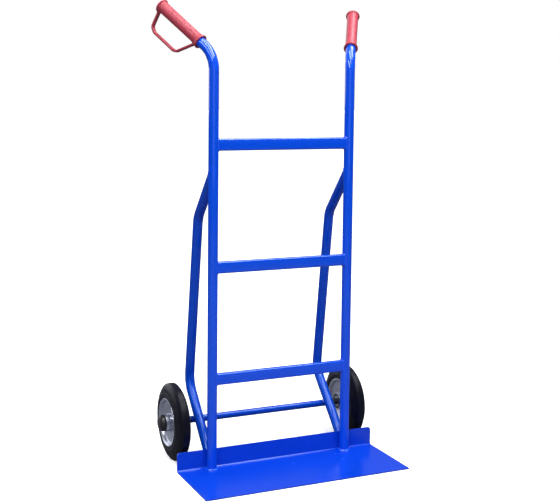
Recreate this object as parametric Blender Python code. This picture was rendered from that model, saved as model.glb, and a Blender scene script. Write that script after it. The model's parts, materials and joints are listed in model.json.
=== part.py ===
"""Two-wheel hand truck: a welded tube frame on a bent toe plate, two D-guard grips, a fixed axle
bar and two solid-rubber wheels on ball bearings.

Metres, +Z up. The origin is on the floor, under the toe plate, midway between the uprights.
+X is across the truck, -Y is the load side and +Y the wheel side.
"""

import math

import bmesh
import bpy
from mathutils import Matrix, Vector

MM = 0.001
GAP = 0.3 * MM

SIDES = {"left": -1, "right": 1}

# Frame tube and its layout: each side frame leans in a little towards the top
TUBE_RADIUS = 12.5 * MM
TUBE_WALL = 2.0 * MM
TUBE_SIDES = 16
BEND_STEPS = 6
SIDE_FOOT_X = 188.0 * MM
SIDE_LEAN = math.radians(0.26)

# Handle bend: the tube turns back, up and outwards
HANDLE_CORNER_Z = 1029.5 * MM
HANDLE_RISE = math.radians(35.6)
HANDLE_SPLAY = math.radians(30.2)
HANDLE_BEND_RADIUS = 72.0 * MM
GRIP_STARTS = {-1: 49.5 * MM, 1: 39.5 * MM}  # the right grip is pushed further on
TUBE_IN_GRIP = 144.0 * MM

# Rungs
RUNG_HEIGHTS = {"top": 815.5 * MM, "middle": 515.5 * MM, "lower": 234.0 * MM}
RUNG_TALL = 29.5 * MM
RUNG_DEEP = 15.0 * MM
RUNG_CORNER = 5.0 * MM
RUNG_WALL = 1.5 * MM
CORNER_STEPS = 3

# Toe plate: sheet bent up into a flange behind the uprights
PLATE_THICK = 3.0 * MM
PLATE_HALF_WIDTH = 275.0 * MM
PLATE_FRONT_Y = -190.0 * MM
FLANGE_FRONT_Y = TUBE_RADIUS + GAP
FLANGE_TOP_Z = 50.5 * MM
PLATE_INNER_BEND = 3.0 * MM
FLANGE_CORNER = 8.0 * MM

# Rear braces, as corner points (y, z) of the tube's centre line
BRACE_TOP = (0.0, 747.5 * MM)
BRACE_UPPER_BEND = (104.0 * MM, 628.0 * MM)
BRACE_LOWER_BEND = (167.0 * MM, 186.0 * MM)
BRACE_LOWER_POINT = (43.0 * MM, 59.0 * MM)
BRACE_BEND_RADIUS = 60.0 * MM
BRACE_WALL = 1.5 * MM
BRACE_BEND_STEPS = 3

# Wheels
WHEEL_RADIUS = 100.0 * MM
WHEEL_X = 249.0 * MM
WHEEL_Z = WHEEL_RADIUS + GAP
AXLE_RADIUS = 9.0 * MM
JOURNAL_RADIUS = 8.5 * MM
RING_SIDES = 20
TYRE_SIDES = 28
DISC_SIDES = 22

# Hub stack, as distances from the wheel's centre plane (positive is outwards)
HUB_HALF = 25.5 * MM
BEARING_NEAR = 11.0 * MM
BEARING_FAR = 23.0 * MM
BEARING_MIDDLE = (BEARING_NEAR + BEARING_FAR) / 2
BEARING_BORE = JOURNAL_RADIUS + GAP
BEARING_OUTER = 20.0 * MM
BALL_RADIUS = 3.1 * MM
BALL_PITCH = 14.2 * MM
BALL_COUNT = 7
BALL_RUN = 0.35 * MM
WASHER_RADIUS = 14.0 * MM
SHOULDER = BEARING_FAR + 2.9 * MM
AXLE_REACH = 33.0 * MM
PIN_AT = 28.2 * MM
PIN_RADIUS = 1.5 * MM

# Grip, along its own axis from the ring at the tube
GRIP_LENGTH = 153.0 * MM
GRIP_RADIUS = 14.3 * MM
GRIP_BORE = TUBE_RADIUS + GAP
GRIP_RING = 18.2 * MM
GRIP_SIDES = 20
GUARD_THICK = 5.5 * MM
GUARD_WIDE = 10.5 * MM
GUARD_BEND_RADIUS = 11.0 * MM


def clear_scene():
    """Remove every object of the open scene."""
    for obj in list(bpy.data.objects):
        bpy.data.objects.remove(obj, do_unlink=True)


def make_material(name, colour, roughness, metallic):
    """Return a Principled BSDF material."""
    material = bpy.data.materials.new(name)
    material.use_nodes = True
    shader = material.node_tree.nodes["Principled BSDF"]
    shader.inputs["Base Color"].default_value = (*colour, 1.0)
    shader.inputs["Roughness"].default_value = roughness
    shader.inputs["Metallic"].default_value = metallic
    return material


def make_materials():
    """Return the finishes of the truck, by slot name."""
    return {
        "blue_paint": make_material("blue_paint", (0.003, 0.064, 0.68), 0.3, 0.0),
        "red_plastic": make_material("red_plastic", (0.75, 0.09, 0.14), 0.5, 0.0),
        "tyre_rubber": make_material("tyre_rubber", (0.013, 0.014, 0.02), 0.75, 0.0),
        "zinc_steel": make_material("zinc_steel", (0.5, 0.51, 0.56), 0.35, 1.0),
        "bearing_steel": make_material("bearing_steel", (0.62, 0.62, 0.64), 0.2, 1.0),
        "black_plastic": make_material("black_plastic", (0.012, 0.012, 0.015), 0.45, 0.0),
    }


def finish_object(name, bm, material, parent=None):
    """Turn a bmesh into a smooth-shaded object with outward faces."""
    bmesh.ops.remove_doubles(bm, verts=bm.verts, dist=1e-7)
    bmesh.ops.recalc_face_normals(bm, faces=bm.faces)
    mesh = bpy.data.meshes.new(name)
    bm.to_mesh(mesh)
    bm.free()
    mesh.shade_smooth()
    mesh.set_sharp_from_angle(angle=math.radians(35))
    obj = bpy.data.objects.new(name, mesh)
    bpy.context.scene.collection.objects.link(obj)
    if material:
        mesh.materials.append(material)
    obj.parent = parent
    return obj


def make_empty(name, location, turn=0.0, lean=0.0):
    """Return an empty that holds a side frame or stands on a joint axis."""
    empty = bpy.data.objects.new(name, None)
    empty.location = location
    empty.rotation_euler = (0.0, lean, turn)
    bpy.context.scene.collection.objects.link(empty)
    return empty


def boolean(obj, cutter, operation="DIFFERENCE"):
    """Cut obj with a hidden helper, or join the helper to it."""
    modifier = obj.modifiers.new(cutter.name, "BOOLEAN")
    modifier.operation = operation
    modifier.solver = "EXACT"
    modifier.object = cutter
    cutter.hide_render = True
    cutter.display_type = "WIRE"


# ---------------------------------------------------------------- shapes


def rounded_path(corners, radius, steps):
    """Return the points of a polyline whose inner corners are arcs of the given radius."""
    points = [corners[0]]
    for before, corner, after in zip(corners, corners[1:], corners[2:]):
        into = (corner - before).normalized()
        out = (after - corner).normalized()
        turn = into.angle(out)
        start = corner - into * radius * math.tan(turn / 2)
        axis = into.cross(out).normalized()
        centre = start + axis.cross(into) * radius
        for step in range(steps + 1):
            spin = Matrix.Rotation(turn * step / steps, 3, axis)
            points.append(centre + spin @ (start - centre))
    points.append(corners[-1])
    return points


def circle_section(radius, sides):
    """Return a round section as (across, up) pairs."""
    angles = [2 * math.pi * (side + 0.5) / sides for side in range(sides)]
    return [(radius * math.cos(angle), radius * math.sin(angle)) for angle in angles]


def rounded_section(wide, tall, corner, steps):
    """Return a rectangle with round corners as (across, up) pairs."""
    section = []
    for quarter, (sx, sy) in enumerate(((1, 1), (-1, 1), (-1, -1), (1, -1))):
        centre = (sx * (wide / 2 - corner), sy * (tall / 2 - corner))
        for step in range(steps + 1):
            angle = math.pi / 2 * (quarter + step / steps)
            section.append(
                (centre[0] + corner * math.cos(angle), centre[1] + corner * math.sin(angle))
            )
    return section


def sweep_rings(bm, path, section, across):
    """Place a section at every point of a path; across is the path plane's normal."""
    rings = []
    for index, point in enumerate(path):
        before = path[max(index - 1, 0)]
        after = path[min(index + 1, len(path) - 1)]
        up = across.cross((after - before).normalized())
        rings.append([bm.verts.new(point + across * a + up * b) for a, b in section])
    return rings


def bridge(bm, ring, other):
    """Join two rings of equal length with quads."""
    count = len(ring)
    for i in range(count):
        j = (i + 1) % count
        bm.faces.new((ring[i], ring[j], other[j], other[i]))


def sweep_solid(bm, path, section, across):
    """Sweep a section along a path and close both ends."""
    rings = sweep_rings(bm, path, section, across)
    for ring, other in zip(rings, rings[1:]):
        bridge(bm, ring, other)
    bm.faces.new(rings[0])
    bm.faces.new(rings[-1])


def sweep_hollow(bm, path, outer, inner, across):
    """Sweep a wall between two sections of equal length along a path, open at both ends."""
    outside = sweep_rings(bm, path, outer, across)
    inside = sweep_rings(bm, path, inner, across)
    for rings in (outside, inside):
        for ring, other in zip(rings, rings[1:]):
            bridge(bm, ring, other)
    bridge(bm, outside[0], inside[0])
    bridge(bm, outside[-1], inside[-1])


def spin_profile(bm, profile, sides, axis, start):
    """Turn a profile of (along, radius) pairs about an axis through the origin.

    start is the direction of the first copy. A profile that begins and ends on the axis stays
    open; any other is closed into a loop.
    """
    verts = [bm.verts.new(axis * along + start * radius) for along, radius in profile]
    on_axis = abs(profile[0][1]) < 1e-9 and abs(profile[-1][1]) < 1e-9
    pairs = list(zip(verts, verts[1:]))
    if not on_axis:
        pairs.append((verts[-1], verts[0]))
    edges = [bm.edges.new(pair) for pair in pairs]
    bmesh.ops.spin(
        bm,
        geom=verts + edges,
        cent=(0.0, 0.0, 0.0),
        axis=axis,
        angle=2 * math.pi,
        steps=sides,
        use_merge=False,
    )
    bmesh.ops.remove_doubles(bm, verts=bm.verts, dist=1e-6)


def turned(name, profile, sides, material, parent):
    """Return a piece turned about its own X axis, with a vertex line at its lowest side."""
    bm = bmesh.new()
    spin_profile(bm, profile, sides, Vector((1.0, 0.0, 0.0)), Vector((0.0, 0.0, -1.0)))
    return finish_object(name, bm, material, parent)


def ring_profile(near, far, inner, outer):
    """Return the profile of a plain ring."""
    return [(near, inner), (near, outer), (far, outer), (far, inner)]


def mirrored(profile):
    """Return a profile on the other side of the centre plane."""
    return [(-along, radius) for along, radius in reversed(profile)]


# ---------------------------------------------------------------- frame


def handle_direction():
    """Return the direction of a handle in its own plane, where +X is backwards."""
    return Vector((math.cos(HANDLE_RISE), 0.0, math.sin(HANDLE_RISE)))


def handle_turn(side):
    """Return the turn about Z that takes a handle plane's +X to its splayed direction."""
    return math.pi / 2 - side * HANDLE_SPLAY


def make_foot_cutter():
    """Build the helper that bevels the uprights' feet clear of the toe plate's bend."""
    half = 5.0 * MM
    reach = (PLATE_INNER_BEND + half - GAP) / math.sqrt(2)
    bm = bmesh.new()
    bmesh.ops.create_cube(bm, size=1.0)
    bmesh.ops.scale(bm, vec=(0.6, 2 * half, 2 * half), verts=bm.verts)
    cutter = finish_object("foot_cutter", bm, None)
    bend_y = FLANGE_FRONT_Y - PLATE_INNER_BEND
    bend_z = PLATE_THICK + PLATE_INNER_BEND
    cutter.location = (0.0, bend_y + reach, bend_z - reach)
    cutter.rotation_euler = (math.pi / 4, 0.0, 0.0)
    return cutter


def make_upright(name, side, frame, foot_cutter, material):
    """Build an upright: straight from the toe plate, then bent back into the grip."""
    foot = PLATE_THICK + GAP
    corner = Vector((0.0, 0.0, HANDLE_CORNER_Z - foot))
    end = corner + handle_direction() * (GRIP_STARTS[side] + TUBE_IN_GRIP)
    path = rounded_path([Vector(), corner, end], HANDLE_BEND_RADIUS, BEND_STEPS)
    bm = bmesh.new()
    sweep_hollow(
        bm,
        path,
        circle_section(TUBE_RADIUS, TUBE_SIDES),
        circle_section(TUBE_RADIUS - TUBE_WALL, TUBE_SIDES),
        Vector((0.0, 1.0, 0.0)),
    )
    upright = finish_object(name, bm, material, frame)
    upright.location = (0.0, 0.0, foot)
    upright.rotation_euler = (0.0, 0.0, handle_turn(side))
    boolean(upright, foot_cutter)
    return upright


def make_upright_cutter(name, frame):
    """Build the helper that copes a tube end round an upright."""
    bm = bmesh.new()
    path = [Vector((0.0, 0.0, 0.0)), Vector((0.0, 0.0, HANDLE_CORNER_Z - 100 * MM))]
    section = circle_section(TUBE_RADIUS + GAP, 2 * TUBE_SIDES)
    sweep_solid(bm, path, section, Vector((1.0, 0.0, 0.0)))
    cutter = finish_object(name, bm, None, frame)
    cutter.location = (0.0, 0.0, 20 * MM)
    return cutter


def make_rung(name, height, cutters, material):
    """Build a flat-sided cross tube that butts against both uprights."""
    half = SIDE_FOOT_X - height * math.tan(SIDE_LEAN)
    path = [Vector((-half, 0.0, 0.0)), Vector((half, 0.0, 0.0))]
    outer = rounded_section(RUNG_TALL, RUNG_DEEP, RUNG_CORNER, CORNER_STEPS)
    inner = rounded_section(
        RUNG_TALL - 2 * RUNG_WALL,
        RUNG_DEEP - 2 * RUNG_WALL,
        RUNG_CORNER - RUNG_WALL,
        CORNER_STEPS,
    )
    bm = bmesh.new()
    sweep_hollow(bm, path, outer, inner, Vector((0.0, 0.0, 1.0)))
    rung = finish_object(name, bm, material)
    rung.location = (0.0, 0.0, height)
    for cutter in cutters:
        boolean(rung, cutter)
    return rung


def brace_direction():
    """Return the (y, z) direction of a brace's lower leg, pointing down."""
    run = Vector(BRACE_LOWER_POINT) - Vector(BRACE_LOWER_BEND)
    return run.normalized()


def make_brace(name, frame, upright_cutter, flange_cutter, material):
    """Build a rear brace: coped to the upright, bent twice, ending on the flange."""
    lower = Vector(BRACE_LOWER_BEND) + brace_direction() * 230 * MM
    corners = [Vector((0.0, y, z)) for y, z in (BRACE_TOP, BRACE_UPPER_BEND, BRACE_LOWER_BEND)]
    corners.append(Vector((0.0, lower.x, lower.y)))
    path = rounded_path(corners, BRACE_BEND_RADIUS, BRACE_BEND_STEPS)
    bm = bmesh.new()
    sweep_hollow(
        bm,
        path,
        circle_section(TUBE_RADIUS, TUBE_SIDES),
        circle_section(TUBE_RADIUS - BRACE_WALL, TUBE_SIDES),
        Vector((1.0, 0.0, 0.0)),
    )
    brace = finish_object(name, bm, material, frame)
    boolean(brace, upright_cutter)
    boolean(brace, flange_cutter)
    return brace


def make_flange_cutter():
    """Build the helper block that ends both braces on the flange's back face."""
    back = FLANGE_FRONT_Y + PLATE_THICK + GAP
    bm = bmesh.new()
    bmesh.ops.create_cube(bm, size=1.0)
    bmesh.ops.scale(bm, vec=(0.6, 0.1, 0.2), verts=bm.verts)
    cutter = finish_object("flange_cutter", bm, None)
    cutter.location = (0.0, back - 0.05, 0.0)
    return cutter


def make_toe_plate(material):
    """Build the toe plate: one bent sheet with round flange corners."""
    back = FLANGE_FRONT_Y + PLATE_THICK
    bend = Vector((FLANGE_FRONT_Y - PLATE_INNER_BEND, PLATE_THICK + PLATE_INNER_BEND))
    angles = [-math.pi / 2 + math.pi / 2 * step / CORNER_STEPS for step in range(CORNER_STEPS + 1)]
    inner = [bend + PLATE_INNER_BEND * Vector((math.cos(a), math.sin(a))) for a in angles]
    outer_radius = PLATE_INNER_BEND + PLATE_THICK
    outer = [bend + outer_radius * Vector((math.cos(a), math.sin(a))) for a in angles]
    outline = [Vector((PLATE_FRONT_Y, PLATE_THICK)), *inner]
    outline += [Vector((FLANGE_FRONT_Y, FLANGE_TOP_Z)), Vector((back, FLANGE_TOP_Z))]
    outline += [*reversed(outer), Vector((PLATE_FRONT_Y, 0.0))]
    bm = bmesh.new()
    face = bm.faces.new([bm.verts.new((-PLATE_HALF_WIDTH, y, z)) for y, z in outline])
    extruded = bmesh.ops.extrude_face_region(bm, geom=[face])
    moved = [item for item in extruded["geom"] if isinstance(item, bmesh.types.BMVert)]
    bmesh.ops.translate(bm, vec=(2 * PLATE_HALF_WIDTH, 0.0, 0.0), verts=moved)
    corners = [
        edge
        for edge in bm.edges
        if all(abs(v.co.z - FLANGE_TOP_Z) < 1e-6 for v in edge.verts)
        and abs(edge.verts[0].co.x - edge.verts[1].co.x) < 1e-6
    ]
    bmesh.ops.bevel(
        bm, geom=corners, offset=FLANGE_CORNER, segments=4, profile=0.5, affect="EDGES"
    )
    return finish_object("toe_plate", bm, material)


def axle_y():
    """Return the axle's place: on the lower side of the braces' lower legs, at wheel height."""
    direction = brace_direction()
    down = (BRACE_LOWER_BEND[1] - WHEEL_Z) / -direction.y
    on_line = BRACE_LOWER_BEND[0] + direction.x * down
    return on_line + (TUBE_RADIUS + AXLE_RADIUS + GAP) / -direction.y


def make_axle(material):
    """Build the axle bar with a turned journal and a split-pin hole at each end."""
    shoulder = WHEEL_X - SHOULDER
    reach = WHEEL_X + AXLE_REACH
    chamfer = 1.0 * MM
    half = [
        (shoulder, AXLE_RADIUS),
        (shoulder, JOURNAL_RADIUS),
        (reach - chamfer, JOURNAL_RADIUS),
        (reach, JOURNAL_RADIUS - chamfer),
        (reach, 0.0),
    ]
    profile = [(-along, radius) for along, radius in reversed(half)] + half
    axle = turned("axle", profile, RING_SIDES, material, None)
    axle.location = (0.0, axle_y(), WHEEL_Z)
    for name, side in SIDES.items():
        bm = bmesh.new()
        path = [Vector((0.0, 0.0, -20 * MM)), Vector((0.0, 0.0, 20 * MM))]
        hole = circle_section(PIN_RADIUS + GAP, 8)
        sweep_solid(bm, path, hole, Vector((1.0, 0.0, 0.0)))
        cutter = finish_object(f"{name}_pin_hole", bm, None)
        cutter.location = (side * (WHEEL_X + PIN_AT), axle_y(), WHEEL_Z)
        boolean(axle, cutter)
    return axle


# ---------------------------------------------------------------- grips


def grip_profile():
    """Return the turned body of a grip: closed at the hand end, open over the tube."""
    ring = 3.5 * MM
    collar = 26.0 * MM
    dome = 1.0 * MM
    length = GRIP_LENGTH
    bottom = TUBE_IN_GRIP + 1.0 * MM
    return [
        (length + dome, 0.0),
        (length + dome * 0.7, 8.0 * MM),
        (length, GRIP_RING - 1.4 * MM),
        (length - 1.2 * MM, GRIP_RING),
        (length - ring, GRIP_RING),
        (length - ring - 3.5 * MM, GRIP_RADIUS + 0.2 * MM),
        (collar, GRIP_RADIUS),
        (8.0 * MM, GRIP_RADIUS + 0.9 * MM),
        (ring, GRIP_RADIUS + 1.6 * MM),
        (ring - 0.8 * MM, GRIP_RING),
        (0.0, GRIP_RING),
        (0.0, GRIP_BORE),
        (bottom, GRIP_BORE),
        (bottom, 0.0),
    ]


def make_grip(name, side, frame, material):
    """Build a grip with its hand guard; local +Z runs along the grip, -Y towards the guard."""
    bm = bmesh.new()
    spin_profile(
        bm, grip_profile(), GRIP_SIDES, Vector((0.0, 0.0, 1.0)), Vector((0.0, -1.0, 0.0))
    )
    grip = finish_object(name, bm, material)

    outline = [(14.0, 14.5), (48.5, 60.5), (58.0, 65.0), (134.0, 65.0), (147.5, 57.0), (151.0, 15.0)]
    corners = [Vector((0.0, -away * MM, along * MM)) for along, away in outline]
    path = rounded_path(corners, GUARD_BEND_RADIUS * 0.6, 2)
    bm = bmesh.new()
    section = rounded_section(GUARD_WIDE, GUARD_THICK, 1.8 * MM, 1)
    sweep_solid(bm, path, section, Vector((1.0, 0.0, 0.0)))
    guard = finish_object(f"{name}_guard_form", bm, None, grip)
    boolean(grip, guard, "UNION")

    grip.parent = frame
    grip.matrix_local = (
        Matrix.Translation((0.0, 0.0, HANDLE_CORNER_Z))
        @ Matrix.Rotation(handle_turn(side), 4, "Z")
        @ Matrix.Rotation(math.pi / 2 - HANDLE_RISE, 4, "Y")
        @ Matrix.Translation((0.0, 0.0, GRIP_STARTS[side]))
        @ Matrix.Rotation(math.pi / 2, 4, "Z")
    )
    return grip


# ---------------------------------------------------------------- wheels


def tyre_profile():
    """Return a solid tyre: round shoulders, flat crown, and a foot between the rim discs."""
    half = [
        (0.0, 100.0),
        (8.0, 98.8),
        (13.1, 92.4),
        (16.3, 85.5),
        (18.8, 76.0),
        (19.2, 68.0),
        (18.6, 62.8),
        (16.4, 58.5),
        (9.0, 54.4),
    ]
    right = [(along * MM, radius * MM) for along, radius in half]
    return right + [(-along, radius) for along, radius in reversed(right[1:])]


def rim_profile():
    """Return a pressed rim disc: lip, tyre seat, sloping web and hub flange."""
    inside = [
        (18.9, 62.2),
        (18.6, 60.6),
        (16.7, 58.1),
        (11.8, 55.3),
        (9.6, 53.0),
        (3.8, 31.0),
        (2.6, 23.4),
    ]
    outside = [
        (4.4, 23.4),
        (5.7, 30.5),
        (11.5, 51.7),
        (12.9, 53.6),
        (18.0, 56.6),
        (20.5, 60.2),
        (20.6, 62.2),
    ]
    return [(along * MM, radius * MM) for along, radius in inside + outside]


def cap_profile():
    """Return a hub cap: a spigot in the hub tube and a domed cover, hollow inside."""
    points = [
        (41.7, 0.0),
        (41.2, 10.5),
        (39.2, 16.6),
        (35.4, 20.2),
        (30.5, 21.5),
        (25.8, 21.5),
        (25.8, 20.0),
        (23.4, 20.0),
        (23.4, 17.3),
        (34.0, 17.0),
        (38.0, 12.5),
        (39.4, 0.0),
    ]
    return [(along * MM, radius * MM) for along, radius in points]


def race_profiles(middle):
    """Return the profiles of a bearing's inner and outer ring, grooved for the balls."""
    near = middle - (BEARING_FAR - BEARING_NEAR) / 2
    far = middle + (BEARING_FAR - BEARING_NEAR) / 2
    land = 2.0 * MM
    groove = BALL_RADIUS + BALL_RUN
    inner_land = BALL_PITCH - groove + 1.4 * MM
    outer_land = BALL_PITCH + groove - 1.4 * MM
    inner = [
        (near, BEARING_BORE),
        (near, inner_land),
        (middle - land - 0.6 * MM, inner_land),
        (middle - 0.9 * MM, BALL_PITCH - groove),
        (middle + 0.9 * MM, BALL_PITCH - groove),
        (middle + land + 0.6 * MM, inner_land),
        (far, inner_land),
        (far, BEARING_BORE),
    ]
    outer = [
        (near, BEARING_OUTER),
        (near, outer_land),
        (middle - land - 0.6 * MM, outer_land),
        (middle - 0.9 * MM, BALL_PITCH + groove),
        (middle + 0.9 * MM, BALL_PITCH + groove),
        (middle + land + 0.6 * MM, outer_land),
        (far, outer_land),
        (far, BEARING_OUTER),
    ]
    return inner, outer


def make_ball_cage(name, middle, material, parent):
    """Build a bearing's balls in their cage ring, as one piece that rolls round the axle."""
    half = 1.5 * MM
    ring = ring_profile(-half, half, BALL_PITCH - 1.0 * MM, BALL_PITCH + 1.0 * MM)
    cage = turned(name, ring, RING_SIDES, material, parent)
    cage.location = (middle, 0.0, 0.0)
    bm = bmesh.new()
    for ball in range(BALL_COUNT):
        angle = 2 * math.pi * ball / BALL_COUNT
        place = Matrix.Translation(
            (0.0, BALL_PITCH * math.sin(angle), -BALL_PITCH * math.cos(angle))
        )
        bmesh.ops.create_uvsphere(
            bm, u_segments=6, v_segments=4, radius=BALL_RADIUS, matrix=place
        )
    balls = finish_object(f"{name}_ball_form", bm, None, cage)
    boolean(cage, balls, "UNION")
    return cage


def make_split_pin(name, material, parent):
    """Build a split pin: an eye above the axle and a bent tail below it."""
    corners = [
        Vector((0.0, 0.0, 10.5 * MM)),
        Vector((0.0, 0.0, -11.5 * MM)),
        Vector((0.0, 3.5 * MM, -13.0 * MM)),
    ]
    path = rounded_path(corners, 2.0 * MM, 2)
    bm = bmesh.new()
    sweep_solid(bm, path, circle_section(PIN_RADIUS, 8), Vector((1.0, 0.0, 0.0)))
    pin = finish_object(name, bm, material, parent)
    pin.location = (PIN_AT, 0.0, 0.0)
    eye = circle_section(1.1 * MM, 6)
    bm = bmesh.new()
    profile = [(across, 2.2 * MM + up) for across, up in eye]
    spin_profile(bm, profile, 10, Vector((1.0, 0.0, 0.0)), Vector((0.0, 0.0, -1.0)))
    bmesh.ops.translate(bm, vec=(0.0, 0.0, 12.2 * MM), verts=bm.verts)
    loop = finish_object(f"{name}_eye_form", bm, None, pin)
    boolean(pin, loop, "UNION")
    return pin


def make_axle_end(side_name, hub, materials):
    """Build what stays with the axle inside one hub."""
    steel = materials["bearing_steel"]
    zinc = materials["zinc_steel"]
    for place, middle in (("inner", -BEARING_MIDDLE), ("outer", BEARING_MIDDLE)):
        race, _ = race_profiles(middle)
        turned(f"{side_name}_{place}_bearing_inner_ring", race, RING_SIDES, steel, hub)
        near = BEARING_FAR + GAP
        far = near + 2.0 * MM
        washer = ring_profile(near, far, BEARING_BORE, WASHER_RADIUS)
        if place == "inner":
            washer = mirrored(washer)
        turned(f"{side_name}_{place}_washer", washer, RING_SIDES, zinc, hub)
    half = BEARING_NEAR - GAP
    spacer = ring_profile(-half, half, BEARING_BORE, 11.0 * MM)
    turned(f"{side_name}_bearing_spacer", spacer, RING_SIDES, zinc, hub)
    make_split_pin(f"{side_name}_split_pin", zinc, hub)


def make_wheel(side_name, hub, materials):
    """Build everything that turns with one wheel."""
    zinc = materials["zinc_steel"]
    black = materials["black_plastic"]
    turned(f"{side_name}_tyre", tyre_profile(), TYRE_SIDES, materials["tyre_rubber"], hub)
    turned(f"{side_name}_outer_rim_disc", rim_profile(), DISC_SIDES, zinc, hub)
    turned(f"{side_name}_inner_rim_disc", mirrored(rim_profile()), DISC_SIDES, zinc, hub)
    bore = BEARING_OUTER + GAP
    tube = ring_profile(-HUB_HALF, HUB_HALF, bore, 23.0 * MM)
    turned(f"{side_name}_hub_tube", tube, DISC_SIDES, zinc, hub)
    turned(f"{side_name}_hub_cap", cap_profile(), DISC_SIDES, black, hub)
    seal = ring_profile(
        -HUB_HALF + GAP, -BEARING_FAR - GAP, WASHER_RADIUS + 0.6 * MM, BEARING_OUTER
    )
    turned(f"{side_name}_dust_seal", seal, RING_SIDES, black, hub)
    for place, middle in (("inner", -BEARING_MIDDLE), ("outer", BEARING_MIDDLE)):
        _, race = race_profiles(middle)
        steel = materials["bearing_steel"]
        turned(f"{side_name}_{place}_bearing_outer_ring", race, RING_SIDES, steel, hub)
        make_ball_cage(f"{side_name}_{place}_ball_cage", middle, steel, hub)


def build():
    """Build the whole hand truck."""
    clear_scene()
    materials = make_materials()
    blue = materials["blue_paint"]
    frames = {}
    cutters = {}
    foot_cutter = make_foot_cutter()
    for name, side in SIDES.items():
        foot = (side * SIDE_FOOT_X, 0.0, 0.0)
        frames[name] = make_empty(f"{name}_side_frame", foot, lean=-side * SIDE_LEAN)
        make_upright(f"{name}_upright", side, frames[name], foot_cutter, blue)
        cutters[name] = make_upright_cutter(f"{name}_upright_cutter", frames[name])
    for name, height in RUNG_HEIGHTS.items():
        make_rung(f"{name}_rung", height, cutters.values(), blue)
    flange_cutter = make_flange_cutter()
    make_toe_plate(blue)
    make_axle(blue)
    for name, side in SIDES.items():
        make_brace(f"{name}_brace", frames[name], cutters[name], flange_cutter, blue)
        make_grip(f"{name}_grip", side, frames[name], materials["red_plastic"])
        hub_place = (side * WHEEL_X, axle_y(), WHEEL_Z)
        hub = make_empty(f"{name}_hub_axis", hub_place, turn=0.0 if side > 0 else math.pi)
        make_axle_end(name, hub, materials)
        make_wheel(name, hub, materials)


build()
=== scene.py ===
"""Hand truck: rounded shapes, welds, finishes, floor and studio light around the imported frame.

Metres, +Z up. -Y is the load side, +Y the wheel side and +X runs across the truck.
"""

import json
import logging
import math
from dataclasses import dataclass, field
from enum import Enum
from typing import Callable, Iterable

import bmesh
import bpy
from mathutils import Matrix, Vector

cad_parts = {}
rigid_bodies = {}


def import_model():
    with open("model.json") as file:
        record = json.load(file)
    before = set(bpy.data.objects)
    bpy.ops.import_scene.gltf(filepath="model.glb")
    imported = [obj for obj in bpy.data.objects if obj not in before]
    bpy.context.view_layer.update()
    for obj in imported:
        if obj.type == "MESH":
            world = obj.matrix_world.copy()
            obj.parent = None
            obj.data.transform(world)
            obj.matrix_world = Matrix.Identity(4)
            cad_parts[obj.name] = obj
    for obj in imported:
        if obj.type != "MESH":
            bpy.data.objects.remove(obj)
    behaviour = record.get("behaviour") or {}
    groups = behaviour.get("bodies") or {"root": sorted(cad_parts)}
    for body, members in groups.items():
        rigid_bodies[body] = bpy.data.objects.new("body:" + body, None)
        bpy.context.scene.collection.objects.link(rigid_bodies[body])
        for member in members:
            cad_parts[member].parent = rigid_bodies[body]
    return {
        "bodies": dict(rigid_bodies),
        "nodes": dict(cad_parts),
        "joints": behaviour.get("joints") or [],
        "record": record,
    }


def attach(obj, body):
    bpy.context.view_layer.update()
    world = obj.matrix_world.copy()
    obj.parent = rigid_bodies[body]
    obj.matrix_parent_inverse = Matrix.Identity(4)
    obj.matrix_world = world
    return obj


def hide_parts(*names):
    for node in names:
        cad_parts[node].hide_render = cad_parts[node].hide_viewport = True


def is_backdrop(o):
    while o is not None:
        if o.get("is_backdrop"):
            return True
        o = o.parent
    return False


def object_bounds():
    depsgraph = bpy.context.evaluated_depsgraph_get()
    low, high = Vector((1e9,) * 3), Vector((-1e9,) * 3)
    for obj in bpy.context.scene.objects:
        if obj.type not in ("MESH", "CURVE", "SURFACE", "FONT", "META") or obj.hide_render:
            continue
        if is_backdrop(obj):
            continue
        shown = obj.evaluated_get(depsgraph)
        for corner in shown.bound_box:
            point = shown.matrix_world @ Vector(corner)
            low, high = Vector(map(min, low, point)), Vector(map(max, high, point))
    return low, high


MM = 0.001
TAU = 2 * math.pi
LONGEST_CUT = 0.49  # share of an outline's side that one rounded corner may take
SAME_POINT = 1e-6  # points nearer than this are one point

log = logging.getLogger("hand_truck")

Point2 = tuple[float, float]
Colour = tuple[float, float, float]


class Side(Enum):
    """The two sides of the truck, by the sign of X."""

    LEFT = -1
    RIGHT = 1

    @property
    def label(self) -> str:
        """The side's word in the names of CAD nodes and bodies."""
        return self.name.lower()


class Slot(Enum):
    """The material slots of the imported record."""

    PAINT = "blue_paint"
    GRIP = "red_plastic"
    RUBBER = "tyre_rubber"
    ZINC = "zinc_steel"
    BEARING = "bearing_steel"
    PLASTIC = "black_plastic"


# ---------------------------------------------------------------- node trees


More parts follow.
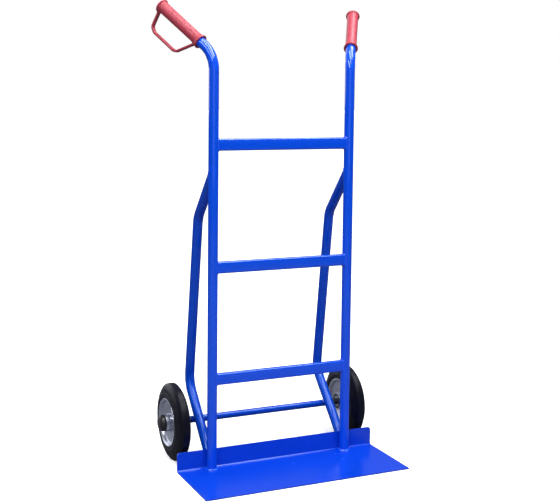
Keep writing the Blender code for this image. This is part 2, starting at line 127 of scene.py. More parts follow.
class Sheet:
    """A node tree with short calls for adding and linking its nodes."""

    def __init__(self, tree: bpy.types.NodeTree) -> None:
        """Keep the tree that the calls work on."""
        self.tree = tree

    def feed(self, socket: bpy.types.NodeSocket, value: object) -> None:
        """Link an output socket to an input, or set the input to a constant.

        Args:
            socket: The input socket.
            value: An output socket, a number, a text, a vector or a material.
        """
        if isinstance(value, bpy.types.NodeSocket):
            self.tree.links.new(value, socket)
        elif isinstance(value, tuple) and socket.type == "RGBA":
            socket.default_value = (*value, 1.0)
        else:
            socket.default_value = value

    def add(self, kind: str, inputs: dict | None = None, **settings: object) -> bpy.types.Node:
        """Add a node.

        Args:
            kind: The node's type name.
            inputs: Values or output sockets, by the input's name or number.
            settings: Properties of the node itself.

        Returns:
            The new node.
        """
        node = self.tree.nodes.new(kind)
        for name, value in settings.items():
            setattr(node, name, value)
        for key, value in (inputs or {}).items():
            self.feed(node.inputs[key], value)
        return node

    def math(self, operation: str, *values: object) -> bpy.types.NodeSocket:
        """Return the output of a Math node on one to three values."""
        return self.add("ShaderNodeMath", dict(enumerate(values)), operation=operation).outputs[0]

    def smooth(
        self, value: object, low: float, high: float, to: Point2 = (0.0, 1.0)
    ) -> bpy.types.NodeSocket:
        """Map a value smoothly from one range to another.

        Args:
            value: The value or its socket.
            low: Where the map starts.
            high: Where the map ends.
            to: What low and high become.

        Returns:
            The mapped value's socket.
        """
        ends = {0: value, 1: low, 2: high, 3: to[0], 4: to[1]}
        node = self.add("ShaderNodeMapRange", ends, interpolation_type="SMOOTHSTEP")
        return node.outputs[0]

    def mix(self, share: object, first: object, second: object) -> bpy.types.NodeSocket:
        """Return two colours mixed by share."""
        node = self.add("ShaderNodeMix", {0: share, 6: first, 7: second}, data_type="RGBA")
        return node.outputs[2]

    def noise(self, vector: object, size: float, detail: float = 2.0) -> bpy.types.NodeSocket:
        """Return a 0..1 noise whose blobs are about size metres across."""
        inputs = {"Vector": vector, "Scale": 1.0 / size, "Detail": detail}
        return self.add("ShaderNodeTexNoise", inputs).outputs["Fac"]


class EffectKind(Enum):
    """The shared shader effects, each one node group."""

    ORANGE_PEEL = "OrangePeel"
    SMUDGES = "Smudges"
    EDGE_WEAR = "EdgeWear"
    GRAIN = "FineGrain"
    TURNING = "TurningLines"
    DUST = "DustFilm"


class EffectLibrary:
    """Builds the shared shader node groups once each and hands them out."""

    def __init__(self) -> None:
        """Start with no group built."""
        self.built: dict[EffectKind, bpy.types.NodeTree] = {}

    def get(self, kind: EffectKind) -> bpy.types.NodeTree:
        """Give out the node group of an effect, built on first use.

        Args:
            kind: The effect.

        Returns:
            Its node group.
        """
        if kind not in self.built:
            builders = {
                EffectKind.ORANGE_PEEL: self._orange_peel,
                EffectKind.SMUDGES: self._smudges,
                EffectKind.EDGE_WEAR: self._edge_wear,
                EffectKind.GRAIN: self._grain,
                EffectKind.TURNING: self._turning,
                EffectKind.DUST: self._dust,
            }
            self.built[kind] = builders[kind]()
        return self.built[kind]

    def _open(
        self, kind: EffectKind, inputs: Iterable[tuple[str, str, float]], output: str
    ) -> tuple[Sheet, bpy.types.Node, bpy.types.Node]:
        """Make an empty group with its sockets.

        Args:
            kind: The effect.
            inputs: Name, socket type and default value of each input.
            output: Name of the one value that it gives.

        Returns:
            The group's sheet, its input node and its output node.
        """
        tree = bpy.data.node_groups.new(kind.value, "ShaderNodeTree")
        for name, socket_type, default in inputs:
            socket = tree.interface.new_socket(name, in_out="INPUT", socket_type=socket_type)
            if socket_type == "NodeSocketFloat":
                socket.default_value = default
        tree.interface.new_socket(output, in_out="OUTPUT", socket_type="NodeSocketFloat")
        sheet = Sheet(tree)
        return sheet, sheet.add("NodeGroupInput"), sheet.add("NodeGroupOutput")

    def _scaled(self, sheet: Sheet, entry: bpy.types.Node) -> bpy.types.NodeSocket:
        """Scale the group's coordinates by its own size.

        Args:
            sheet: The group's sheet.
            entry: Its input node, with Vector and Size.

        Returns:
            Vector divided by Size.
        """
        inverse = sheet.math("DIVIDE", 1.0, entry.outputs["Size"])
        inputs = {0: entry.outputs["Vector"], "Scale": inverse}
        return sheet.add("ShaderNodeVectorMath", inputs, operation="SCALE").outputs[0]

    def _orange_peel(self) -> bpy.types.NodeTree:
        """Build the soft pebbling of sprayed powder with a slow wave under it.

        Returns:
            A group that gives Height.
        """
        sockets = (
            ("Vector", "NodeSocketVector", 0.0),
            ("Size", "NodeSocketFloat", 2.4 * MM),
            ("Wave", "NodeSocketFloat", 0.35),
        )
        sheet, entry, out = self._open(EffectKind.ORANGE_PEEL, sockets, "Height")
        spread = self._scaled(sheet, entry)
        peel = sheet.noise(spread, 1.0, 1.0)
        wave = sheet.noise(spread, 14.0, 1.5)
        part = sheet.math("MULTIPLY", wave, entry.outputs["Wave"])
        sheet.feed(out.inputs["Height"], sheet.math("MULTIPLY_ADD", peel, 0.25, part))
        return sheet.tree

    def _smudges(self) -> bpy.types.NodeTree:
        """Build broad handling smudges broken up by finer ones.

        Returns:
            A group that gives Mask.
        """
        sockets = (("Vector", "NodeSocketVector", 0.0), ("Size", "NodeSocketFloat", 0.11))
        sheet, entry, out = self._open(EffectKind.SMUDGES, sockets, "Mask")
        spread = self._scaled(sheet, entry)
        broad = sheet.smooth(sheet.noise(spread, 1.0, 3.0), 0.38, 0.68)
        fine = sheet.smooth(sheet.noise(spread, 0.16, 4.0), 0.3, 0.75)
        sheet.feed(out.inputs["Mask"], sheet.math("MULTIPLY", broad, fine))
        return sheet.tree

    def _edge_wear(self) -> bpy.types.NodeTree:
        """Build a mask of sharp edges, in chips, from the piece's own edge attribute. It gives rubbed,
        scuffed edges on the plastics and painted edge shade on the powder coat.

        Returns:
            A group that gives Mask.
        """
        sockets = (("Vector", "NodeSocketVector", 0.0), ("Size", "NodeSocketFloat", 6 * MM))
        sheet, entry, out = self._open(EffectKind.EDGE_WEAR, sockets, "Mask")
        spread = self._scaled(sheet, entry)
        edge = sheet.add("ShaderNodeAttribute", attribute_name="edge").outputs["Fac"]
        chips = sheet.smooth(sheet.noise(spread, 1.0, 5.0), 0.3, 0.62)
        rubbed = sheet.smooth(edge, 0.15, 0.9)
        sheet.feed(out.inputs["Mask"], sheet.math("MULTIPLY", rubbed, chips))
        return sheet.tree

    def _grain(self) -> bpy.types.NodeTree:
        """Build the pebble grain of a textured mould.

        Returns:
            A group that gives Height.
        """
        sockets = (("Vector", "NodeSocketVector", 0.0), ("Size", "NodeSocketFloat", 0.9 * MM))
        sheet, entry, out = self._open(EffectKind.GRAIN, sockets, "Height")
        spread = self._scaled(sheet, entry)
        inputs = {"Vector": spread, "Scale": 1.0}
        cells = sheet.add("ShaderNodeTexVoronoi", inputs, feature="SMOOTH_F1")
        fuzz = sheet.noise(spread, 0.45, 2.0)
        mixed = sheet.math("MULTIPLY_ADD", fuzz, 0.4, cells.outputs["Distance"])
        sheet.feed(out.inputs["Height"], mixed)
        return sheet.tree

    def _turning(self) -> bpy.types.NodeTree:
        """Build the fine rings that turning or drawing leaves, across the UV map's V.

        Returns:
            A group that gives Height.
        """
        sockets = (("Size", "NodeSocketFloat", 0.7 * MM), ("Vector", "NodeSocketVector", 0.0))
        sheet, entry, out = self._open(EffectKind.TURNING, sockets, "Height")
        uv = sheet.add("ShaderNodeUVMap", uv_map="UVMap").outputs[0]
        parts = sheet.add("ShaderNodeSeparateXYZ", {0: uv})
        across = sheet.math("DIVIDE", parts.outputs["Y"], entry.outputs["Size"])
        inputs = {"W": across, "Scale": 1.0, "Detail": 3.0}
        line = sheet.add("ShaderNodeTexNoise", inputs, noise_dimensions="1D")
        fade = sheet.noise(entry.outputs["Vector"], 0.02, 2.0)
        sheet.feed(out.inputs["Height"], sheet.math("MULTIPLY", line.outputs["Fac"], fade))
        return sheet.tree

    def _dust(self) -> bpy.types.NodeTree:
        """Build a thin uneven film, thicker in the piece's creases.

        Returns:
            A group that gives Mask.
        """
        sockets = (("Vector", "NodeSocketVector", 0.0), ("Size", "NodeSocketFloat", 0.03))
        sheet, entry, out = self._open(EffectKind.DUST, sockets, "Mask")
        spread = self._scaled(sheet, entry)
        crease = sheet.add("ShaderNodeAttribute", attribute_name="crease").outputs["Fac"]
        film = sheet.smooth(sheet.noise(spread, 1.0, 5.0), 0.35, 0.8, (0.0, 0.6))
        sheet.feed(out.inputs["Mask"], sheet.math("MAXIMUM", film, crease))
        return sheet.tree


# ------------------------------------------------------------------ finishes


@dataclass(frozen=True)
class Finish:
    """What every finish has: a name, a colour, and how rough and uneven it is."""

    name: str
    colour: Colour
    second: Colour
    roughness: float
    rough_spread: float = 0.08
    metallic: float = 0.0
    specular: float = 0.5
    tint: Colour = (1.0, 1.0, 1.0)
    bump: float = 0.3
    bump_depth: float = 0.1 * MM

    def build(self, effects: EffectLibrary) -> bpy.types.Material:
        """Make the material.

        Args:
            effects: The shared shader groups.

        Returns:
            A node material that reads the object's own coordinates.
        """
        material = bpy.data.materials.new(self.name)
        material.use_nodes = True
        sheet = Sheet(material.node_tree)
        shader = material.node_tree.nodes["Principled BSDF"]
        place = sheet.add("ShaderNodeTexCoord").outputs["Object"]
        shader.inputs["Metallic"].default_value = self.metallic
        shader.inputs["Specular IOR Level"].default_value = self.specular
        sheet.feed(shader.inputs["Specular Tint"], self.tint)
        self.dress(Painter(sheet, shader, effects, place))
        return material

    def dress(self, painter: "Painter") -> None:
        """Link the finish's own effects to the shader."""
        raise NotImplementedError

    def spread(self, painter: "Painter", share: object, uneven: object) -> None:
        """Link the two tones of the finish and its uneven roughness.

        Args:
            painter: The material's painter.
            share: How much of the second tone shows.
            uneven: How much of the rough spread shows.
        """
        painter.colour(share, self.colour, self.second)
        painter.roughness(uneven, self.roughness, self.roughness + self.rough_spread)


@dataclass
class Painter:
    """Places shared effects in one material."""

    sheet: Sheet
    shader: bpy.types.Node
    effects: EffectLibrary
    place: bpy.types.NodeSocket

    def effect(self, kind: EffectKind, **sizes: float) -> bpy.types.NodeSocket:
        """Add an effect.

        Args:
            kind: The effect.
            sizes: Values of its inputs, by name.

        Returns:
            Its output socket.
        """
        node = self.sheet.add("ShaderNodeGroup", node_tree=self.effects.get(kind))
        self.sheet.feed(node.inputs["Vector"], self.place)
        for name, value in sizes.items():
            node.inputs[name].default_value = value
        return node.outputs[0]

    def colour(self, mask: object, first: object, second: object) -> None:
        """Feed Base Color with two colours mixed by mask."""
        mixed = self.sheet.mix(mask, first, second)
        self.sheet.feed(self.shader.inputs["Base Color"], mixed)

    def roughness(self, mask: object, low: float, high: float) -> None:
        """Feed Roughness from low where mask is 0 to high where it is 1."""
        value = self.sheet.math("MULTIPLY_ADD", mask, high - low, low)
        self.sheet.feed(self.shader.inputs["Roughness"], value)

    def bump(self, height: object, strength: float, distance: float) -> None:
        """Feed Normal from a height.

        Args:
            height: The height's socket.
            strength: The bump's strength, 0 to 1.
            distance: How high a height of 1 stands.
        """
        inputs = {"Height": height, "Strength": strength, "Distance": distance}
        node = self.sheet.add("ShaderNodeBump", inputs)
        self.sheet.feed(self.shader.inputs["Normal"], node.outputs[0])


@dataclass(frozen=True)
class PowderCoat(Finish):
    """Glossy sprayed powder: orange peel, smudges, and painted shade on sharp edges, broken into chips
    like thin worn paint.
    """

    # Painted shade on sharp edges: the dark tone, and how much of it shows.
    edge_colour: Colour = (0.004, 0.02, 0.16)
    edge_share: float = 0.8

    def dress(self, painter: Painter) -> None:
        """Link peel, smudges and the painted edge shade.

        Args:
            painter: The material's painter.
        """
        smudge = painter.effect(EffectKind.SMUDGES)
        wear_and_edge_shade = painter.effect(EffectKind.EDGE_WEAR)
        base = painter.sheet.mix(smudge, self.colour, self.second)
        # Painted shade: the sharp edges are mixed toward the dark edge tone, in chips.
        share = painter.sheet.math("MULTIPLY", wear_and_edge_shade, self.edge_share)
        painter.colour(share, base, self.edge_colour)
        painter.roughness(smudge, self.roughness, self.roughness + self.rough_spread)
        painter.bump(painter.effect(EffectKind.ORANGE_PEEL), self.bump, self.bump_depth)


@dataclass(frozen=True)
class SoftVinyl(Finish):
    """Dipped or moulded vinyl: pebble grain, and rubbed paler ridges."""

    grain: float = 0.8 * MM
    smudge: float = 50 * MM
    rub: float = 9 * MM

    def dress(self, painter: Painter) -> None:
        """Link grain, smudges and rubbing.

        Args:
            painter: The material's painter.
        """
        smudge = painter.effect(EffectKind.SMUDGES, Size=self.smudge)
        wear_and_edge_shade = painter.effect(EffectKind.EDGE_WEAR, Size=self.rub)
        self.spread(painter, painter.sheet.math("MAXIMUM", smudge, wear_and_edge_shade), smudge)
        painter.bump(painter.effect(EffectKind.GRAIN, Size=self.grain), self.bump, self.bump_depth)


@dataclass(frozen=True)
class Rubber(Finish):
    """Moulded tyre rubber: fine grain, mould turning lines and a film of dust."""

    grain: float = 0.6 * MM
    lines: float = 1.1 * MM
    line_height: float = 1.6

    def dress(self, painter: Painter) -> None:
        """Link grain, turning lines and dust.

        Args:
            painter: The material's painter.
        """
        dust = painter.effect(EffectKind.DUST)
        lines = painter.effect(EffectKind.TURNING, Size=self.lines)
        grain = painter.effect(EffectKind.GRAIN, Size=self.grain)
        self.spread(painter, dust, dust)
        height = painter.sheet.math("MULTIPLY_ADD", lines, self.line_height, grain)
        painter.bump(height, self.bump, self.bump_depth)


@dataclass(frozen=True)
class PlatedSteel(Finish):
    """Bright zinc or ground steel: turning lines, and a cloudy passivated tone."""

    cloud: float = 30 * MM
    dust: float = 20 * MM
    dust_share: float = 0.35
    lines: float = 0.5 * MM

    def dress(self, painter: Painter) -> None:
        """Link lines, clouds, and more of the second tone in a noisy film and in the creases.

        Args:
            painter: The material's painter.
        """
        cloud = painter.effect(EffectKind.SMUDGES, Size=self.cloud)
        dust = painter.effect(EffectKind.DUST, Size=self.dust)
        # More of the second tone shows in a noisy film and in the creases.
        share = painter.sheet.math("MULTIPLY_ADD", dust, self.dust_share, cloud)
        self.spread(painter, share, share)
        lines = painter.effect(EffectKind.TURNING, Size=self.lines)
        painter.bump(lines, self.bump, self.bump_depth)


@dataclass(frozen=True)
class MouldedPlastic(Finish):
    """Hard moulded plastic: faint grain, smudges and scuffed edges."""

    grain: float = 0.5 * MM
    smudge: float = 20 * MM
    scuff: float = 3 * MM

    def dress(self, painter: Painter) -> None:
        """Link grain, smudges and scuffs.

        Args:
            painter: The material's painter.
        """
        smudge = painter.effect(EffectKind.SMUDGES, Size=self.smudge)
        wear_and_edge_shade = painter.effect(EffectKind.EDGE_WEAR, Size=self.scuff)
        self.spread(painter, painter.sheet.math("MAXIMUM", smudge, wear_and_edge_shade), smudge)
        painter.bump(painter.effect(EffectKind.GRAIN, Size=self.grain), self.bump, self.bump_depth)


class Palette:
    """Every finish of the truck, built once."""

    FINISHES = {
        "tube_paint": PowderCoat(
            "tube_paint", (0.0003, 0.067, 0.68), (0.0006, 0.073, 0.71), 0.07,
            rough_spread=0.05, specular=0.85, tint=(0.74, 0.84, 1.0), bump=0.35,
        ),
        # A darker copy of the tube blue: painted shade on the braces and the axle bar, which stand
        # behind the uprights.
        "brace_paint": PowderCoat(
            "brace_paint", (0.0003, 0.052, 0.5), (0.0006, 0.058, 0.53), 0.1,
            rough_spread=0.06, specular=0.5, tint=(0.6, 0.8, 1.0), bump=0.35,
        ),
        # A darker, less green copy of the tube blue: it paints the blue bounce light and shade that the
        # flange's corner gets from the plate.
        "plate_paint": PowderCoat(
            "plate_paint", (0.0006, 0.045, 0.56), (0.0012, 0.05, 0.59), 0.2,
            specular=1.0, tint=(0.6, 0.72, 1.0), bump=0.2,
        ),
        # A paler copy of the tube blue: painted highlight on the weld lumps.
        "weld_paint": PowderCoat(
            "weld_paint", (0.001, 0.08, 0.78), (0.002, 0.09, 0.82), 0.12,
            rough_spread=0.06, specular=1.0, bump=0.3, edge_share=0.1,
        ),
        "grip_vinyl": SoftVinyl(
            "grip_vinyl", (0.38, 0.038, 0.06), (0.42, 0.05, 0.078), 0.38,
            rough_spread=0.12, specular=0.5, bump=0.03, bump_depth=0.01 * MM, grain=2.6 * MM,
        ),
        "tyre_rubber": Rubber(
            "tyre_rubber", (0.003, 0.0033, 0.008), (0.005, 0.0055, 0.013), 0.3,
            rough_spread=0.2, specular=0.16, bump=0.35, bump_depth=0.1 * MM,
        ),
        "bright_zinc": PlatedSteel(
            "bright_zinc", (0.56, 0.58, 0.66), (0.47, 0.49, 0.57), 0.26,
            rough_spread=0.06, metallic=1.0, bump=0.12, bump_depth=0.03 * MM,
        ),
        "ground_steel": PlatedSteel(
            "ground_steel", (0.66, 0.66, 0.68), (0.5, 0.5, 0.52), 0.16,
            metallic=1.0, bump=0.15, bump_depth=0.03 * MM, lines=0.25 * MM,
        ),
        # Near-black steel for the axle ends: bare under the bearings, and painted shade on the stubs
        # between the braces and the wheels.
        "oiled_steel": PlatedSteel(
            "oiled_steel", (0.02, 0.022, 0.035), (0.05, 0.05, 0.06), 0.32,
            rough_spread=0.2, metallic=0.6, bump=0.2, bump_depth=0.05 * MM,
        ),
        "black_nylon": MouldedPlastic(
            "black_nylon", (0.006, 0.006, 0.009), (0.014, 0.014, 0.018), 0.3,
            rough_spread=0.15, specular=0.5, bump=0.2, bump_depth=0.05 * MM,
        ),
    }

    def __init__(self) -> None:
        """Build the shader groups and the materials."""
        effects = EffectLibrary()
        self.materials = {name: finish.build(effects) for name, finish in self.FINISHES.items()}
        log.info("finishes: %s", ", ".join(self.materials))

    def __getitem__(self, name: str) -> bpy.types.Material:
        """Return the material of a finish."""
        return self.materials[name]


# --------------------------------------------------------------------- paths


@dataclass(frozen=True)
class PathPoint:
    """A point of a centre line, its direction, how far along it is and how bent it is."""

    place: Vector
    along: Vector
    run: float
    bend: float


class BentLine:
    """A flat centre line with straight runs and round bends, in its local XZ plane."""

    SAME = 0.01 * MM

    def __init__(
        self, corners: Iterable[Point2], radii: Iterable[float], straight: float, turn: float
    ) -> None:
        """Work out the points.

        Args:
            corners: The line's ends and corners as (x, z).
            radii: The bend radius at each inner corner.
            straight: Greatest spacing on straight runs.
            turn: Greatest turn between points of a bend, in radians.
        """
        self.points: list[PathPoint] = []
        knots = [Vector((x, 0.0, z)) for x, z in corners]
        start = knots[0]
        for before, knot, after, radius in zip(knots, knots[1:], knots[2:], radii):
            enter, leave = (knot - before).normalized(), (after - knot).normalized()
            angle = enter.angle(leave)
            cut = radius * math.tan(angle / 2)
            self._straight(start, knot - enter * cut, straight)
            self._bend(knot - enter * cut, enter, leave, radius, angle, turn)
            start = knot + leave * cut
        self._straight(start, knots[-1], straight)

    def _push(self, place: Vector, along: Vector, bend: float) -> None:
        """Add a point unless it repeats the last one.

        Args:
            place: Where the point is.
            along: The line's direction there.
            bend: How far into a bend it is, 0 to 1.
        """
        run = 0.0
        if self.points:
            step = (place - self.points[-1].place).length
            if step < self.SAME:
                return
            run = self.points[-1].run + step
        self.points.append(PathPoint(place, along, run, bend))

    def _straight(self, start: Vector, end: Vector, spacing: float) -> None:
        """Add evenly spaced points.

        Args:
            start: Where the run starts.
            end: Where it ends.
            spacing: The greatest distance between points.
        """
        count = max(1, math.ceil((end - start).length / spacing))
        for i in range(count + 1):
            self._push(start.lerp(end, i / count), (end - start).normalized(), 0.0)

    def _bend(
        self, start: Vector, enter: Vector, leave: Vector, radius: float, angle: float, turn: float
    ) -> None:
        """Add the points of a round bend.

        Args:
            start: Where the bend starts.
            enter: The direction at its start.
            leave: The direction at its end.
            radius: The bend's radius.
            angle: The angle between the two directions.
            turn: The greatest turn between points.
        """
        inward = (leave - enter * leave.dot(enter)).normalized()
        count = max(2, math.ceil(angle / turn))
        for i in range(1, count + 1):
            share = i / count
            a = angle * share
            place = start + enter * radius * math.sin(a) + inward * radius * (1 - math.cos(a))
            along = enter * math.cos(a) + inward * math.sin(a)
            self._push(place, along, math.sqrt(abs(math.sin(math.pi * share))))


def rounded_outline(
    corners: list[Point2], radii: list[float], steps: int, closed: bool = True
) -> list[Point2]:
    """Round the corners of a flat outline.

    Args:
        corners: The corner points.
        radii: The radius at each corner; an open outline keeps its two ends.
        steps: Points per rounded corner.
        closed: Whether the last corner joins the first.

    Returns:
        The rounded outline's points.
    """
    count = len(corners)
    out: list[Point2] = []
    for i, corner in enumerate(corners):
        at_end = not closed and i in (0, count - 1)
        here = Vector(corner)
        if at_end or radii[i] <= 0:
            out.append(corner)
            continue
        back = Vector(corners[i - 1]) - here
        ahead = Vector(corners[(i + 1) % count]) - here
        half = back.angle(ahead) / 2
        cut = min(radii[i] / math.tan(half), LONGEST_CUT * back.length, LONGEST_CUT * ahead.length)
        start, end = here + back.normalized() * cut, here + ahead.normalized() * cut
        for k in range(steps + 1):
            t = k / steps
            out.append(tuple(start * (1 - t) ** 2 + here * 2 * t * (1 - t) + end * t**2))
    return out


def box_outline(wide: float, tall: float, radius: float, steps: int) -> list[Point2]:
    """Make a rectangle with rounded corners, centred on the origin.

    Args:
        wide: Its size along the first axis.
        tall: Its size along the second axis.
        radius: The corners' radius.
        steps: Points per corner.

    Returns:
        The outline's points.
    """
    x, y = wide / 2, tall / 2
    corners = [(x, y), (-x, y), (-x, -y), (x, -y)]
    return rounded_outline(corners, [radius] * 4, steps)


def circle_outline(radius: float, sides: int) -> list[Point2]:
    """Return a circle as points."""
    angles = [TAU * i / sides for i in range(sides)]
    return [(radius * math.cos(a), radius * math.sin(a)) for a in angles]


# -------------------------------------------------------------------- meshes


Swell = Callable[[PathPoint, float, float], Point2]


class Skin:
    """A mesh made of rows of points, closed into one outward-facing skin."""

    def __init__(self) -> None:
        """Start an empty mesh with a UV map."""
        self.bm = bmesh.new()
        self.uv = self.bm.loops.layers.uv.new("UVMap")
        self.where: dict[bmesh.types.BMVert, Point2] = {}

    def row(self, points: Iterable[Vector], v: float, wrap: float) -> list[bmesh.types.BMVert]:
        """Add a row of points.

        Args:
            points: The points in order.
            v: The row's V in the UV map.
            wrap: The U that a whole turn takes.

        Returns:
            The new vertices.
        """
        made = [self.bm.verts.new(p) for p in points]
        for i, vert in enumerate(made):
            self.where[vert] = (wrap * i / len(made), v)
        return made

    def face(self, corners: list[bmesh.types.BMVert], wrap: float = 0.0) -> None:
        """Add a face, with its UVs kept together across the seam of a turn.

        Args:
            corners: The face's points in order.
            wrap: The U that a whole turn takes, or 0 where there is no turn.
        """
        made = self.bm.faces.new(corners)
        us = [self.where[c][0] for c in corners]
        for loop in made.loops:
            u, v = self.where[loop.vert]
            if wrap and max(us) - u > wrap / 2:
                u += wrap
            loop[self.uv].uv = (u, v)

    def join(self, first: list, second: list, ring: bool, wrap: float = 0.0) -> None:
        """Fill between two rows of the same length.

        Args:
            first: The points of one row.
            second: The points of the other.
            ring: Whether the rows close on themselves.
            wrap: The U that a whole turn takes.
        """
        count = len(first)
        for i in range(count if ring else count - 1):
            j = (i + 1) % count
            self.face([first[i], first[j], second[j], second[i]], wrap)

    def fan(self, row: list, centre: Vector, v: float) -> None:
        """Close a row with faces to one middle point.

        Args:
            row: The points of the row.
            centre: Where the middle point is.
            v: The middle point's V in the UV map.
        """
        middle = self.bm.verts.new(centre)
        self.where[middle] = (self.where[row[0]][0], v)
        for i, vert in enumerate(row):
            self.face([vert, row[(i + 1) % len(row)], middle])

    def finish(self, matrix: Matrix | None = None) -> bpy.types.Mesh:
        """Weld the doubles and turn the faces outward.

        Args:
            matrix: Where the mesh goes, or None to leave it.

        Returns:
            The mesh.
        """
        bmesh.ops.remove_doubles(self.bm, verts=self.bm.verts, dist=SAME_POINT)
        if matrix is not None:
            bmesh.ops.transform(self.bm, matrix=matrix, verts=self.bm.verts)
        bmesh.ops.recalc_face_normals(self.bm, faces=self.bm.faces)
        mesh = bpy.data.meshes.new("skin")
        self.bm.to_mesh(mesh)
        self.bm.free()
        return mesh


def sweep(
    line: BentLine, section: list[Point2], matrix: Matrix | None = None, swell: Swell | None = None
) -> bpy.types.Mesh:
    """Carry a section along a bent line and close both ends.

    Args:
        line: The centre line, in its local XZ plane.
        section: The section as (outward from the bend plane's normal, along Y).
        matrix: Where the result goes.
        swell: Gives an extra (radial, along) shift for a point, an angle and a radius.

    Returns:
        The closed mesh.
    """
    skin = Skin()
    rim = sum(math.dist(a, b) for a, b in zip(section, section[1:] + section[:1]))
    rows = []
    for point in line.points:
        side = Vector((0.0, 1.0, 0.0))
        out = point.along.cross(side)
        spots = []
        for a, b in section:
            spot = out * a + side * b
            if swell is not None:
                radius = math.hypot(a, b)
                grow, shift = swell(point, math.atan2(b, a), radius)
                spot = spot * (1 + grow / radius) + point.along * shift
            spots.append(point.place + spot)
        rows.append(skin.row(spots, point.run, rim))
    for first, second in zip(rows, rows[1:]):
        skin.join(first, second, True, rim)
    skin.fan(rows[0], line.points[0].place, 0.0)
    skin.fan(rows[-1], line.points[-1].place, line.points[-1].run)
    return skin.finish(matrix)


def turned(
    profile: list[Point2], closed: bool, sides: int, matrix: Matrix | None = None
) -> bpy.types.Mesh:
    """Turn a profile round the local X axis.

    Args:
        profile: Points as (along the axis, radius).
        closed: Whether the profile is a loop, as for a ring; otherwise it ends on the axis.
        sides: Points round the turn.
        matrix: Where the result goes.

    Returns:
        The closed mesh.
    """
    skin = Skin()
    wrap = TAU * max(r for _, r in profile)
    rows, run, last = [], 0.0, profile[0]
    for along, radius in profile:
        run += math.dist(last, (along, radius))
        last = (along, radius)
        if radius < SAME_POINT:
            rows.append((along, run))
            continue
        spots = [
            Vector((along, radius * math.sin(TAU * i / sides), radius * math.cos(TAU * i / sides)))
            for i in range(sides)
        ]
        rows.append(skin.row(spots, run, wrap))
    pairs = list(zip(rows, rows[1:]))
    if closed:
        run += math.dist(profile[-1], profile[0])
        pairs.append((rows[-1], skin.row([v.co.copy() for v in rows[0]], run, wrap)))
    for first, second in pairs:
        if isinstance(first, tuple):
            skin.fan(second, Vector((first[0], 0.0, 0.0)), first[1])
        elif isinstance(second, tuple):
            skin.fan(first, Vector((second[0], 0.0, 0.0)), second[1])
        else:
            skin.join(first, second, True, wrap)
    return skin.finish(matrix)


class Workshop:
    """Turns meshes into named pieces that ride on CAD bodies.

    An edge is marked from a curvature of EDGE_FROM per metre and fully so at EDGE_TO.
    """

    EDGE_FROM = 350.0
    EDGE_TO = 1500.0
    BEVEL_FROM = math.radians(50)
    SHORTEST = 1e-7

    def __init__(self, palette: Palette) -> None:
        """Keep the finishes."""
        self.palette = palette

    def raw(self, name: str, mesh: bpy.types.Mesh) -> bpy.types.Object:
        """Make an object at the origin.

        Args:
            name: The name of the object and its mesh.
            mesh: The mesh.

        Returns:
            The linked object.
        """
        mesh.name = name
        made = bpy.data.objects.new(name, mesh)
        bpy.context.scene.collection.objects.link(made)
        return made

    def settle(self, made: bpy.types.Object) -> bpy.types.Object:
        """Apply an object's modifiers.

        Args:
            made: The object.

        Returns:
            The same object with a plain mesh.
        """
        graph = bpy.context.evaluated_depsgraph_get()
        mesh = bpy.data.meshes.new_from_object(made.evaluated_get(graph))
        made.modifiers.clear()
        made.data = mesh
        return made

    def bevel(self, made: bpy.types.Object, width: float, segments: int = 3) -> bpy.types.Object:
        """Round the sharp edges of an object.

        Args:
            made: The object.
            width: How far in from the edge the rounding starts.
            segments: Faces across the rounding.

        Returns:
            The same object with a plain mesh.
        """
        tool = made.modifiers.new("Bevel", "BEVEL")
        tool.width = width
        tool.segments = segments
        tool.limit_method = "ANGLE"
        tool.angle_limit = self.BEVEL_FROM
        return self.settle(made)

    def mark_edges(self, mesh: bpy.types.Mesh) -> None:
        """Write how sharply each point curves, outward to "edge" and inward to "crease".

        Args:
            mesh: The mesh that gets the two attributes.
        """
        bm = bmesh.new()
        bm.from_mesh(mesh)
        values = {"edge": [0.0] * len(bm.verts), "crease": [0.0] * len(bm.verts)}
        for edge in bm.edges:
            if len(edge.link_faces) != 2 or edge.calc_length() < self.SHORTEST:
                continue
            width = sum(f.calc_area() for f in edge.link_faces) / 2 / edge.calc_length()
            curve = edge.calc_face_angle_signed(0.0) / max(width, self.SHORTEST)
            share = (abs(curve) - self.EDGE_FROM) / (self.EDGE_TO - self.EDGE_FROM)
            values_of = values["edge" if curve > 0 else "crease"]
            for vert in edge.verts:
                values_of[vert.index] = max(values_of[vert.index], min(1.0, share))
        bm.free()
        for name, numbers in values.items():
            mesh.attributes.new(name, "FLOAT", "POINT").data.foreach_set("value", numbers)

    def hand_over(
        self,
        made: bpy.types.Object,
        finish: str,
        body: str,
        replaces: Iterable[str] = (),
        sharp: float = math.radians(42),
    ) -> bpy.types.Object:
        """Dress a piece and let it ride on its body.

        Args:
            made: The object.
            finish: The name of its finish.
            body: The CAD body it moves with.
            replaces: CAD nodes that it stands for.
            sharp: Edges that turn more than this are shaded sharp.

        Returns:
            The piece.
        """
        mesh = made.data
        mesh.materials.clear()
        mesh.materials.append(self.palette[finish])
        mesh.shade_smooth()
        mesh.set_sharp_from_angle(angle=sharp)
        self.mark_edges(mesh)
        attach(made, body)
        if replaces:
            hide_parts(*replaces)
        log.info("%s: %d faces on %s", made.name, len(mesh.polygons), body)
        return made


# ------------------------------------------------------------ geometry nodes


